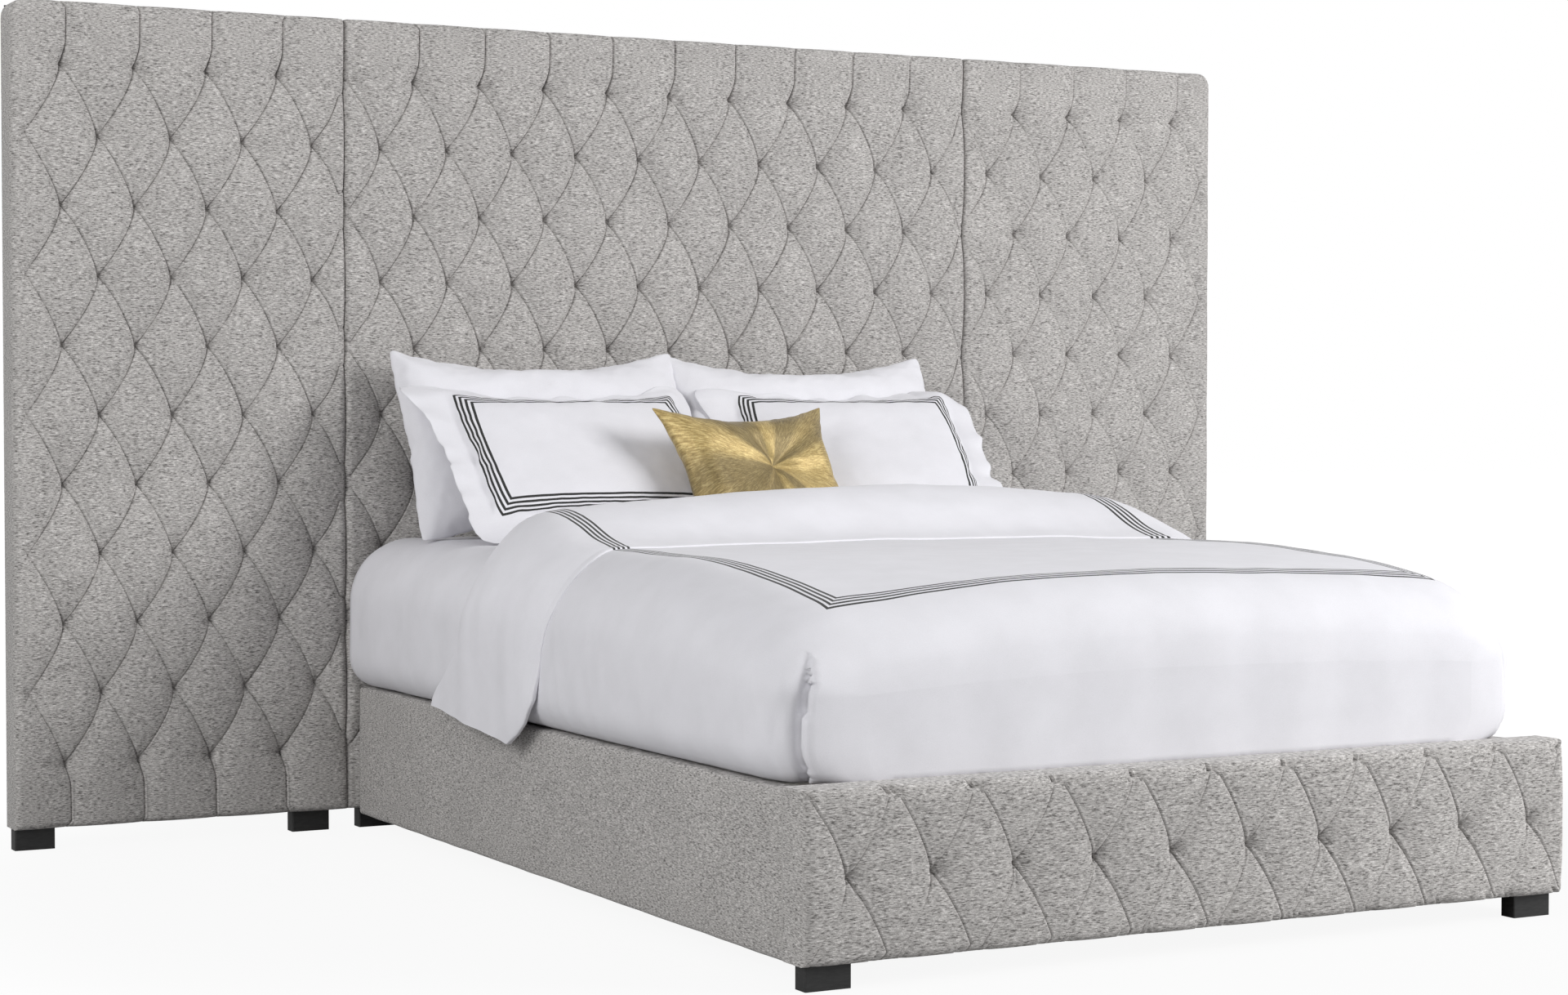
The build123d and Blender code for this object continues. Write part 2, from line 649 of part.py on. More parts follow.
# ---- Bedding: a soft comforter over the mattress, and the duvet with its turned-back fold ----
def bedding_block(y_start, y_end, half_width, floor_z, top_z, upper_radius):
    """A closed length of bedding with soft lower and upper corners, from one Y to another."""
    with BuildPart() as block:
        with BuildSketch(Plane.XZ.offset(-y_start)) as section:
            with Locations((0, (floor_z + top_z) / 2)):
                Rectangle(2 * half_width, top_z - floor_z)
            fillet(section.vertices().group_by(Axis.Y)[0], bedding_lower_radius)
            fillet(section.vertices().group_by(Axis.Y)[-1], upper_radius)
        extrude(amount=y_start - y_end)
    return block.part


duvet_start_y = head_y - duvet_start
bedding_foot_y = foot_y + bedding_foot_gap
fold_x = rail_outer_x + fold_overhang
with BuildPart() as comforter:
    add(bedding_block(head_y - bedding_head_gap, duvet_start_y, rail_outer_x + comforter_overhang,
                      bedding_z, comforter_top_z, bedding_upper_radius))
    add(bedding_block(duvet_start_y, bedding_foot_y, rail_outer_x + comforter_foot_overhang,
                      bedding_z, comforter_foot_top_z, bedding_upper_radius))
    add(mattress.part, mode=Mode.SUBTRACT)
save(comforter.part, "comforter")

with BuildPart() as turned_back:
    add(bedding_block(head_y - fold_back, head_y - fold_front, fold_x,
                      bedding_z, fold_top_z, fold_upper_radius))
    with BuildSketch(Plane.YZ):
        with BuildLine():
            Polyline((head_y - fold_front, duvet_top_z + fold_front_loft),
                     (head_y - fold_back - fold_crest, fold_top_z),
                     (head_y - fold_back - fold_crest, fold_top_z + fold_loft),
                     (head_y - fold_front, fold_top_z + fold_loft), close=True)
        make_face()
    extrude(amount=fold_x, both=True, mode=Mode.SUBTRACT)

with BuildPart() as duvet:
    add(bedding_block(duvet_start_y, foot_y - duvet_over_footboard, rail_outer_x + duvet_overhang,
                      bedding_z, duvet_top_z, bedding_upper_radius))
    fillet(duvet.faces().sort_by(Axis.Y)[0].edges(), duvet_front_radius)
    add(turned_back.part)
    for side in (-1, 1):
        with BuildSketch(Plane.YZ.offset(side * fold_x)):
            with BuildLine():
                Polyline((head_y - fold_back, bedding_z + 2 * bedding_lower_radius),
                         (head_y - fold_back, bedding_z),
                         (head_y - fold_front + flap_nose, rail_top_z - flap_drop),
                         (head_y - fold_front, rail_top_z + flap_drop),
                         (head_y - fold_front, bedding_z + 2 * bedding_lower_radius), close=True)
            make_face()
        extrude(amount=-side * flap_thickness)
    add(mattress.part, mode=Mode.SUBTRACT)
    add(comforter.part, mode=Mode.SUBTRACT)
save(duvet.part, "duvet")


# ---- Pillows: crowned closed forms that lean back towards the headboard ----
def pillow(name, centre_x, setback, width, height, thickness):
    """One pillow, thickest in the middle and thin at its rim, standing on its lower edge."""
    lean = radians(pillow_lean)
    foot = Vector(centre_x, head_y - setback, comforter_top_z + fit_clearance + pillow_rim / 2 * sin(lean))
    rise = Vector(0, sin(lean), cos(lean))
    face = Plane(origin=foot + rise * (height / 2), x_dir=(1, 0, 0), z_dir=(0, -cos(lean), sin(lean)))
    with BuildPart() as form:
        with BuildSketch(face):
            RectangleRounded(width, height, pillow_corner_radius)
        extrude(amount=pillow_rim / 2, both=True)
        for way in (-1, 1):
            with BuildSketch(face.offset(way * pillow_rim / 2)):
                RectangleRounded(width, height, pillow_corner_radius)
            with BuildSketch(face.offset(way * thickness / 2)):
                RectangleRounded(width * pillow_crown_share, height * pillow_crown_share,
                                 pillow_corner_radius)
            loft(ruled=True)
    save(form.part, name)


pillow("rear_pillow_left", rear_pillow_left_x, rear_pillow_setback,
       rear_pillow_width, rear_pillow_height, rear_pillow_thickness)
pillow("rear_pillow_right", rear_pillow_right_x, rear_pillow_setback,
       rear_pillow_width, rear_pillow_height, rear_pillow_thickness)
pillow("sham_left", sham_left_x, sham_setback, sham_width, sham_height, sham_thickness)
pillow("sham_right", sham_right_x, sham_setback, sham_width, sham_height, sham_thickness)
pillow("gold_cushion", cushion_x, cushion_setback, cushion_width, cushion_height, cushion_thickness)
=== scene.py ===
"""Queen bed: a tall diamond-tufted headboard with two matching wings, upholstered rails and footboard, and
its bedding with five loose pillows."""

from math import pi, radians, sin

import bpy
import numpy as np
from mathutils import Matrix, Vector, noise
from mathutils.bvhtree import BVHTree


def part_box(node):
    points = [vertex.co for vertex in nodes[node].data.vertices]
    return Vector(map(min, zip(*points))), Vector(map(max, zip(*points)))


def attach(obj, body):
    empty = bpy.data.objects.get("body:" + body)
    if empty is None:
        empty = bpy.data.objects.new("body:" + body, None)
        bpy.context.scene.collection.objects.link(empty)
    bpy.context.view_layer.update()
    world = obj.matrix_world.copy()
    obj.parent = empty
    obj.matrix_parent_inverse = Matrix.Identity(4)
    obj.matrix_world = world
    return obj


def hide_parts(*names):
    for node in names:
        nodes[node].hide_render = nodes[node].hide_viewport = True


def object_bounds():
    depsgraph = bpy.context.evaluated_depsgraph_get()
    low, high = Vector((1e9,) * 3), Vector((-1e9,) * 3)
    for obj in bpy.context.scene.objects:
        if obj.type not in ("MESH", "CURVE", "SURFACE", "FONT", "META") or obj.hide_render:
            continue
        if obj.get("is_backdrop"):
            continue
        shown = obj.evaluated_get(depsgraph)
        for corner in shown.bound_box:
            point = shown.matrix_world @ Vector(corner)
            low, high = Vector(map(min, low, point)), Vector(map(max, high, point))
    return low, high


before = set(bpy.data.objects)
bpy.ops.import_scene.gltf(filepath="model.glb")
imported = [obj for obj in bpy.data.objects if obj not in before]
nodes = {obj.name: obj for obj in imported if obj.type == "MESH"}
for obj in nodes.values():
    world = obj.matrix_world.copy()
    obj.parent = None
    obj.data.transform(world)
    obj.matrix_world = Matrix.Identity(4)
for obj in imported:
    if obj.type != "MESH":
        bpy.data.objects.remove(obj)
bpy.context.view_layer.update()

# ---- Camera, studio light, floor and backdrop ----
# A level view from the left of the foot end, soft light from the front and the right,
# and a plain white floor that keeps a faint shadow.
scene = bpy.context.scene
scene.view_settings.view_transform = "Standard"
camera = bpy.data.objects.new("camera", bpy.data.cameras.new("camera"))
scene.collection.objects.link(camera)
camera.location = (-3.1787, -5.4863, 0.9812)
camera.rotation_euler = (pi / 2 - 0.0303, 0, -0.4891)
camera.data.sensor_width = 36
camera.data.lens = 68.23
scene.camera = camera

for name, place, size, power in (("key_light", (4.3, -4.3, 3.0), 3.0, 345),
                                 ("fill_light", (-5.7, -2.1, 3.0), 3.0, 172),
                                 ("back_light", (0.5, 5.0, 3.6), 4.0, 60)):
    lamp = bpy.data.objects.new(name, bpy.data.lights.new(name, "AREA"))
    scene.collection.objects.link(lamp)
    lamp.location = place
    lamp.rotation_euler = (Vector((0, 0, 0.7)) - Vector(place)).to_track_quat("-Z", "Y").to_euler()
    lamp.data.size = size
    lamp.data.energy = power


def add_node(tree, kind, settings=None, **inputs):
    """Adds one shader node, sets its properties, and sets or links its inputs by name or number."""
    made = tree.nodes.new("ShaderNode" + kind)
    for key, value in (settings or {}).items():
        setattr(made, key, value)
    for key, value in inputs.items():
        socket = made.inputs[int(key[1:])] if key[1:].isdigit() else made.inputs[key.replace("_", " ")]
        if isinstance(value, bpy.types.NodeSocket):
            tree.links.new(value, socket)
        else:
            socket.default_value = value
    return made


def maths(tree, operation, *values):
    """The result of one sum, product or comparison."""
    inputs = {f"_{number}": value for number, value in enumerate(values)}
    return add_node(tree, "Math", {"operation": operation}, **inputs).outputs[0]


world = bpy.data.worlds.new("studio")
scene.world = world
world.use_nodes = True
tree = world.node_tree
tree.nodes.clear()
ray = add_node(tree, "LightPath")
seen = maths(tree, "MAXIMUM", ray.outputs["Is Camera Ray"], ray.outputs["Is Glossy Ray"])
seen = maths(tree, "MAXIMUM", seen, ray.outputs["Is Transmission Ray"])
ambient = add_node(tree, "Background", Color=(0.98, 0.99, 1, 1), Strength=0.33)
backdrop = add_node(tree, "Background", Color=(1, 1, 1, 1), Strength=1.0)
mixed = add_node(tree, "MixShader", _0=seen, _1=ambient.outputs[0], _2=backdrop.outputs[0])
add_node(tree, "OutputWorld", Surface=mixed.outputs[0])

bpy.ops.object.select_all(action="DESELECT")
bpy.ops.mesh.primitive_plane_add(size=60, location=(0, 0, 0))
floor = bpy.context.object
floor.name = "floor"
floor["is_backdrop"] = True
floor_paint = bpy.data.materials.new("white_floor")
floor_paint.use_nodes = True
tree = floor_paint.node_tree
tree.nodes.clear()
ray = add_node(tree, "LightPath")
matt = add_node(tree, "BsdfDiffuse", Color=(0.45, 0.45, 0.45, 1))
bright = add_node(tree, "Emission", Color=(1, 1, 1, 1), Strength=1.04)
place = add_node(tree, "TexCoord").outputs["Object"]
away = add_node(tree, "VectorMath", {"operation": "LENGTH"}, _0=place).outputs["Value"]
lit = add_node(tree, "MapRange", {"interpolation_type": "SMOOTHSTEP"}, _0=away,
               _1=1.7, _2=2.8, _3=0.88, _4=1.0)
share = maths(tree, "MULTIPLY", ray.outputs["Is Camera Ray"], lit.outputs[0])
mixed = add_node(tree, "MixShader", _0=share, _1=matt.outputs[0], _2=bright.outputs[0])
add_node(tree, "OutputMaterial", Surface=mixed.outputs[0])
floor.data.materials.append(floor_paint)

# ---- Grey upholstery fabric ----
# A heathered linen-look weave: pale grey yarn with short darker and lighter slubs that lie
# along the weft, so they run level on every upright face.
def new_material(name, roughness=0.9, sheen=0.0, **settings):
    """A material, its tree, the object's own place as its coordinates, and its shader."""
    material = bpy.data.materials.new(name)
    material.use_nodes = True
    tree = material.node_tree
    tree.nodes.clear()
    place = add_node(tree, "TexCoord").outputs["Object"]
    shader = add_node(tree, "BsdfPrincipled", Roughness=roughness, Sheen_Weight=sheen, **settings)
    add_node(tree, "OutputMaterial", Surface=shader.outputs[0])
    return material, tree, place, shader


def stretched(tree, place, scale, detail=2.0):
    """Noise whose grain is stretched by three scales along X, Y and Z."""
    mapping = add_node(tree, "Mapping", Vector=place, Scale=scale)
    return add_node(tree, "TexNoise", Vector=mapping.outputs[0], Scale=1.0, Detail=detail).outputs[0]


def ramp(tree, value, *stops):
    """A colour ramp through (place, colour) stops."""
    made = add_node(tree, "ValToRGB", _0=value)
    made.color_ramp.elements[0].position, made.color_ramp.elements[0].color = stops[0]
    made.color_ramp.elements[1].position, made.color_ramp.elements[1].color = stops[-1]
    for position, colour in stops[1:-1]:
        made.color_ramp.elements.new(position).color = colour
    return made.outputs[0]


def grey(level, warm=0.0):
    """A near-neutral colour, a little warm where asked."""
    return (level * (1 + warm), level, level * (1 - warm), 1)


def mix(tree, kind, share, first, second):
    """Two colours mixed in one of the blend modes."""
    made = tree.nodes.new("ShaderNodeMix")
    made.data_type, made.blend_type = "RGBA", kind
    for number, value in ((0, share), (6, first), (7, second)):
        if isinstance(value, bpy.types.NodeSocket):
            tree.links.new(value, made.inputs[number])
        else:
            made.inputs[number].default_value = value
    return made.outputs[2]


def paint(tree, shader, colour, height=None, strength=0.3, distance=0.0008):
    """Gives a shader its colour and, from a height, its fine relief."""
    tree.links.new(colour, shader.inputs["Base Color"])
    if height is not None:
        bump = add_node(tree, "Bump", Strength=strength, Distance=distance, Height=height)
        tree.links.new(bump.outputs[0], shader.inputs["Normal"])


tufted_fabric, tree, place, shader = new_material("tufted_fabric", roughness=0.95, sheen=0.12)
slubs = stretched(tree, place, (112, 112, 500), 2.0)
threads = stretched(tree, place, (420, 420, 1100), 1.0)
cloudy = stretched(tree, place, (6, 6, 9), 3.0)
colour = ramp(tree, slubs, (0.31, grey(0.12, 0.05)), (0.43, grey(0.355, 0.035)),
              (0.57, grey(0.475, 0.03)), (0.72, grey(0.69, 0.025)))
colour = mix(tree, "MULTIPLY", 0.55, colour, ramp(tree, threads, (0.33, grey(0.35)), (0.62, grey(1.0))))
colour = mix(tree, "MULTIPLY", 0.5, colour, ramp(tree, cloudy, (0.35, grey(0.85)), (0.65, grey(1.0))))
colour = mix(tree, "MULTIPLY", 1.0, colour, (1.19, 1.18, 1.18, 1))
paint(tree, shader, colour, maths(tree, "ADD", slubs, threads), 0.25, 0.0012)

# ---- Headboard and wing pads ----
# Wadding and foam under one sheet of fabric, pulled back by hidden tufts in a diamond lattice.
# Every pleat is folded the same way and bows a little to the right, and from the top and bottom
# rows the pleats run straight to the panel's edges and over them.
tuft_pitch, tuft_row, lowest_tuft, tuft_rows = 0.166, 0.155, 0.190, 11
pleat_reach = 0.1464  # from one pleat square across to the next
edge_radius = 0.015
wing_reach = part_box("right_wing_pad")[1].x
# Distances from a pleat, in millimetres, at which the fabric mesh has its rows
pleat_steps = np.array([0, 1.2, 2.6, 4.5, 7.2, 10.5, 16, 25, 37, 52, 68, 84, 99, 113, 124.5,
                        133, 139, 143, 145.4, 146.4]) / 146.4
tuft_inset = 0.035  # no tuft lies nearer to a panel's side
straight_rows = 10


def on_lattice(x, z, first_row):
    """A place's two coordinates along the lattice: whole numbers on its rising and its falling pleats."""
    return x / tuft_pitch + (z - first_row) / tuft_row / 2, x / tuft_pitch - (z - first_row) / tuft_row / 2


def pleat_crease(across):
    """The sewn-in part of a pleat, in metres: a narrow gap and the fold's raised edge to its right."""
    s = across * 1000
    gap = 3.6 * np.exp(-np.abs(s) / 1.2)
    fold = -1.7 * np.exp(-((s - 3.8) / 2.0) ** 2) + 1.0 * np.exp(-((s - 10) / 3.5) ** 2)
    return (gap + fold) / 1000


def pleat_valley(across):
    """The broad valley that a pleat pulls between two crowned diamonds, in metres."""
    s = across * 1000
    return np.where(s < 0, 11.4, 12.6) * np.exp(-np.abs(s) / 29) / 1000


def lattice_depth(a, b, x, z, top, bottom, left, right, first_row, drawn_in):
    """Depth of the pulled-in fabric behind the crowns of the diamonds, from the lattice's own coordinates.
    drawn_in is how tightly the falling pleats, the rising pleats and the padding are pulled, from 0 to 1."""
    depth = np.zeros_like(a)
    # The falling pleats are slacker towards the right end of the bed, and no two are drawn quite alike
    slack = np.clip((x - 0.45) / 0.5, 0, 1)
    for along, other, drawn in ((a, b, drawn_in[0] * (0.85 - 0.60 * slack)),
                                (b, a, drawn_in[1] * (0.95 - 0.30 * slack))):
        line, span = np.round(along), other - np.floor(other)
        alike = np.abs(np.sin(line * 12.9898 + np.floor(other) * 78.233))
        held = np.clip(drawn * (0.75 + 0.25 * alike), 0, 1)
        held = held + (1 - held) * np.clip(np.exp(-span / 0.10) + np.exp(-(1 - span) / 0.10), 0, 1)
        depth += held * pleat_crease((along - line) * pleat_reach)
        loose = 1 - 0.35 * slack * (along is a)
        for step in (-1, 0, 1):
            depth += drawn_in[2] * loose * pleat_valley((along - line - step) * pleat_reach)
    column = np.round(x / tuft_pitch)
    beyond = np.maximum(z - top, bottom - z)
    upright = (1.0 - 0.65 * slack) * pleat_crease((x / tuft_pitch - column) * pleat_reach)
    for step in (-1, 0, 1):
        upright += pleat_valley((x / tuft_pitch - column - step) * pleat_reach)
    depth = np.where(beyond > 0, upright * (1 + np.exp(-np.maximum(beyond, 0) / 0.03)), depth)
    tuft_x = (np.round(a) + np.round(b)) * tuft_pitch / 2
    tuft_z = first_row + (np.round(a) - np.round(b)) * tuft_row
    real = ((tuft_x > left + tuft_inset) & (tuft_x < right - tuft_inset)
            & (tuft_z < top + 0.01) & (tuft_z > bottom - 0.01))
    away = np.hypot(x - tuft_x, z - tuft_z)
    turn = np.arctan2(z - tuft_z, x - tuft_x)
    creases = 1 + 0.30 * np.sin(9 * turn + 9 * tuft_x + 5 * tuft_z) * np.clip(away / 0.006, 0, 1)
    pull = 0.013 * np.exp(-away / 0.0065) + 0.0075 * creases * np.exp(-away / 0.028)
    # Where the padding is slack, the cloth under each tuft hangs in a small fan of folds
    fan = np.cos(turn * 11) * np.clip(-np.sin(turn), 0, 1) ** 2
    fan = fan * np.clip(away / 0.03, 0, 1) * np.exp(-away / 0.05)
    depth = depth + np.where(real, pull + (1 - drawn_in[2]) * 0.0075 * fan, 0) - 0.0028 * drawn_in[2]
    return depth * np.clip((wing_reach - np.abs(x)) / 0.045 - 0.2, 0, 1)  # smooth along the outer edges


def bowed(a, b, x, z, top, bottom):
    """How far each point of the fabric moves to the right, so that every pleat bows the same way."""
    from_a, from_b = np.abs(a - np.round(a)), np.abs(b - np.round(b))
    along_a, along_b = b - np.floor(b), a - np.floor(a)
    fade_a, fade_b = (np.clip(1 - 2 * d, 0, 1) ** 1.5 for d in (from_a, from_b))
    lattice = (0.007 * fade_a * np.sin(pi * along_a ** 0.9)
               + 0.010 * fade_b * np.sin(pi * (1 - along_b) ** 0.8))
    column = x / tuft_pitch
    near = np.clip(1 - 2 * np.abs(column - np.round(column)), 0, 1) ** 1.5
    beyond = np.maximum(z - top, bottom - z)
    upright = 0.011 * near * np.clip(beyond / 0.045, 0, 1)
    return np.where(beyond > 0, upright, lattice)


def points_of(piece):
    """The places of a mesh's points, one row each."""
    co = np.zeros(len(piece.data.vertices) * 3)
    piece.data.vertices.foreach_get("co", co)
    return co.reshape(-1, 3)


def grow_border(steps, centre):
    """Extrudes the selected rim step by step; each step is (X scale, Z scale, move along Y)."""
    for scale_x, scale_z, move in steps:
        bpy.ops.mesh.extrude_region_move(TRANSFORM_OT_translate={"value": (0, move, 0)})
        bpy.ops.transform.resize(value=(scale_x, 1, scale_z), center_override=centre)


def select_edges(mesh_object, wanted):
    """Leaves edit mode's selection as just the edges whose two ends both pass the test."""
    bpy.ops.mesh.select_all(action="DESELECT")
    bpy.ops.object.mode_set(mode="OBJECT")
    points = mesh_object.data.vertices
    for edge in mesh_object.data.edges:
        edge.select = wanted(points[edge.vertices[0]].co) and wanted(points[edge.vertices[1]].co)
    for point in points:
        point.select = False
    bpy.ops.object.mode_set(mode="EDIT")


def tufted_front(name, cad_node, first_row, top_row, bottom_row, wrap_to, drawn_in=(1, 1, 1)):
    """One panel's tufted front, rounded rim and wrap round its edges, still open behind, its rim selected."""
    low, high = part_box(cad_node)
    left, right, bottom, top = low.x, high.x, low.z, high.z
    inner_left, inner_right = left + edge_radius, right - edge_radius
    inner_bottom, inner_top = bottom + edge_radius, top - edge_radius
    middle = ((left + right) / 2, low.y, (bottom + top) / 2)
    centre_a, centre_b = (round(along) for along in on_lattice(middle[0], middle[2], first_row))
    reach = int((right - left) / 2 / tuft_pitch + (top - bottom) / 4 / tuft_row) + 2
    cells, rows = 2 * reach, len(pleat_steps) - 1
    bpy.ops.object.select_all(action="DESELECT")
    bpy.ops.mesh.primitive_grid_add(x_subdivisions=cells * rows, y_subdivisions=cells * rows, size=cells)
    pad = bpy.context.object
    pad.name = name
    flat = points_of(pad)
    # Turned onto the lattice, with rows packed close to the pleats
    counts = np.round((flat[:, :2] + reach) * rows).astype(int)
    a, b = (counts // rows + pleat_steps[counts % rows] - reach + c
            for counts, c in ((counts[:, 0], centre_a), (counts[:, 1], centre_b)))
    b = -b + 2 * centre_b
    flat[:, 0] = (a + b) * tuft_pitch / 2
    flat[:, 1] = low.y
    flat[:, 2] = first_row + (a - b) * tuft_row
    pad.data.vertices.foreach_set("co", flat.ravel())
    bpy.ops.object.mode_set(mode="EDIT")
    for place, normal in (((0, 0, top_row), (0, 0, 1)), ((0, 0, bottom_row), (0, 0, -1)),
                          ((inner_left, 0, 0), (-1, 0, 0)), ((inner_right, 0, 0), (1, 0, 0))):
        bpy.ops.mesh.select_all(action="SELECT")
        bpy.ops.mesh.bisect(plane_co=place, plane_no=normal, clear_outer=True, threshold=0.00002)
    # Beyond the last rows of tufts, where the pleats run straight, the fabric goes on to the rounded edge
    for row, end in ((top_row, inner_top), (bottom_row, inner_bottom)):
        if abs(row - end) > 0.001:
            select_edges(pad, lambda p, row=row: abs(p.z - row) < 0.0001)
            for _ in range(straight_rows):
                bpy.ops.mesh.extrude_region_move(
                    TRANSFORM_OT_translate={"value": (0, 0, (end - row) / straight_rows)})
    bpy.ops.object.mode_set(mode="OBJECT")
    flat = points_of(pad)
    x, z = flat[:, 0].copy(), flat[:, 2].copy()
    a, b = on_lattice(x, z, first_row)
    from_side = np.clip(np.minimum(x - inner_left, inner_right - x) / 0.03, 0, 1)
    flat[:, 0] = x + from_side * bowed(a, b, x, z, top_row, bottom_row)
    flat[:, 1] = low.y + lattice_depth(a, b, x, z, top_row, bottom_row, left, right, first_row, drawn_in)
    pad.data.vertices.foreach_set("co", flat.ravel())
    # The rim rolls over the panel's edges, runs back, and turns in behind them
    width, height = inner_right - inner_left, inner_top - inner_bottom
    bpy.ops.object.mode_set(mode="EDIT")
    bpy.ops.mesh.select_all(action="DESELECT")
    bpy.ops.mesh.select_non_manifold(extend=False, use_wire=False, use_boundary=True,
                                     use_multi_face=False, use_non_contiguous=False, use_verts=False)
    grown, back = 0.0, 0.0
    steps = []
    for turn in (22.5, 45, 67.5, 90):
        out, behind = edge_radius * sin(radians(turn)), edge_radius * (1 - sin(radians(90 - turn)))
        steps.append(((width + 2 * out) / (width + 2 * grown), (height + 2 * out) / (height + 2 * grown),
                      behind - back))
        grown, back = out, behind
    steps += [(1, 1, (wrap_to - low.y - back) / 2)] * 2
    grow_border(steps, middle)
    bpy.ops.transform.resize(value=(1, 0, 1), center_override=(middle[0], wrap_to, middle[2]))
    return pad, middle, width + 2 * grown, height + 2 * grown


def round_top_corner(pad, side, radius):
    """Turns one upright corner of a finished pad, at its top left (-1) or top right (1), to a soft radius."""
    points = [point.co for point in pad.data.vertices]
    corner_x = max(p.x * side for p in points) - radius
    corner_z = max(p.z for p in points) - radius
    for p in points:
        dx, dz = p.x * side - corner_x, p.z - corner_z
        if dx > 0 and dz > 0:
            inward = max(dx, dz) / (dx * dx + dz * dz) ** 0.5
            p.x, p.z = side * (corner_x + dx * inward), corner_z + dz * inward


def face_outwards():
    """Turns every face of the mesh in edit mode outwards, and leaves edit mode."""
    bpy.ops.mesh.select_all(action="SELECT")
    bpy.ops.mesh.normals_make_consistent(inside=False)
    bpy.ops.object.mode_set(mode="OBJECT")


def finish_soft(piece, body, material, cad_node):
    """Gives a padded piece its cloth and the body it moves with, and hides the CAD node that it stands for.
    """
    piece.data.materials.append(material)
    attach(piece, body)
    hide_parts(cad_node)


def finish_pad(pad, cad_node):
    """Closes a pad's open rim, which is selected, smooths its shading, and gives it its cloth and body."""
    bpy.ops.mesh.edge_face_add()
    face_outwards()
    bpy.ops.object.shade_smooth_by_angle(angle=radians(60))
    finish_soft(pad, "bed_frame", tufted_fabric, cad_node)


top_row = lowest_tuft + (tuft_rows - 1) * tuft_row
outer_corner, inner_corner = 0.035, 0.009  # radii of the panels' upper corners
for panel in ("headboard", "left_wing", "right_wing"):
    low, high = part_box(panel + "_pad")
    pad, middle, width, height = tufted_front(panel + "_tufting", panel + "_pad", lowest_tuft, top_row,
                                              lowest_tuft, high.y)
    # Behind, the fabric turns in over the frame's edge, and the foam lies against the face board
    grow_border([((width - 0.024) / width, (height - 0.024) / height, 0), (1, 1, low.y + 0.0368 - high.y)],
                middle)
    finish_pad(pad, panel + "_pad")
    for side in (-1, 1):
        outer = panel == ("left_wing" if side < 0 else "right_wing")
        round_top_corner(pad, side, outer_corner if outer else inner_corner)

# ---- Timber, boards and cloth behind the pads ----
# Planed pine frames and rails' boards, thin plywood face boards, and a black non-woven
# dust cover stapled over the back of each panel.
softwood, tree, place, shader = new_material("softwood", roughness=0.62)
grain = stretched(tree, place, (9, 9, 9), 4.0)
rings = add_node(tree, "TexWave", {"wave_type": "BANDS", "bands_direction": "DIAGONAL"}, Vector=place,
                 Scale=22.0, Distortion=6.0, Detail=3.0).outputs[1]
colour = ramp(tree, rings, (0.1, (0.50, 0.33, 0.17, 1)), (0.6, (0.66, 0.47, 0.27, 1)),
              (1.0, (0.72, 0.54, 0.33, 1)))
colour = mix(tree, "MULTIPLY", 0.5, colour, ramp(tree, grain, (0.3, grey(0.7, 0.05)), (0.7, grey(1.0))))
paint(tree, shader, colour, rings, 0.15, 0.0006)

plywood, tree, place, shader = new_material("plywood", roughness=0.7)
grain = stretched(tree, place, (90, 90, 4), 5.0)
colour = ramp(tree, grain, (0.3, (0.46, 0.31, 0.17, 1)), (0.7, (0.66, 0.50, 0.31, 1)))
paint(tree, shader, colour)

dust_cover, tree, place, shader = new_material("dust_cover", roughness=0.92, sheen=0.08)
fibres = stretched(tree, place, (700, 700, 700), 3.0)
dimples = add_node(tree, "TexVoronoi", {"feature": "F1"}, Vector=place, Scale=260.0).outputs[0]
colour = ramp(tree, fibres, (0.3, grey(0.022)), (0.7, grey(0.055)))
paint(tree, shader, colour, dimples, 0.35, 0.0008)


def dress(names, material):
    """Gives CAD nodes whose shape is right their finish."""
    for name in names:
        nodes[name].data.materials.clear()
        nodes[name].data.materials.append(material)


dress([panel + "_frame" for panel in ("headboard", "left_wing", "right_wing")], softwood)
dress([panel + "_face_board" for panel in ("headboard", "left_wing", "right_wing")], plywood)
dress([panel + "_back_cover" for panel in ("headboard", "left_wing", "right_wing")], dust_cover)


def start_block(name, low, high):
    """A block that fills the space between two corners, left in edit mode."""
    bpy.ops.object.select_all(action="DESELECT")
    bpy.ops.mesh.primitive_cube_add(size=1)
    block = bpy.context.object
    block.name = name
    bpy.ops.object.mode_set(mode="EDIT")
    bpy.ops.transform.resize(value=high - low)
    bpy.ops.transform.translate(value=(low + high) / 2)
    return block


def cut_pocket(pad, low, high):
    """Hollows a pad between two corners, to take the board in it."""
    pocket = start_block("pocket", low, high)
    bpy.ops.object.mode_set(mode="OBJECT")
    hollow = pad.modifiers.new("pocket", "BOOLEAN")
    hollow.object = pocket
    hollow.solver = "EXACT"
    bpy.context.view_layer.objects.active = pad
    bpy.ops.object.modifier_apply(modifier="pocket")
    bpy.data.objects.remove(pocket)


def add_rows(axis, places):
    """Cuts the mesh in edit mode across one axis, 0 to 2, at each place."""
    normal = [float(axis == n) for n in range(3)]
    for place in places:
        bpy.ops.mesh.select_all(action="SELECT")
        bpy.ops.mesh.bisect(plane_co=Vector(normal) * place, plane_no=normal)

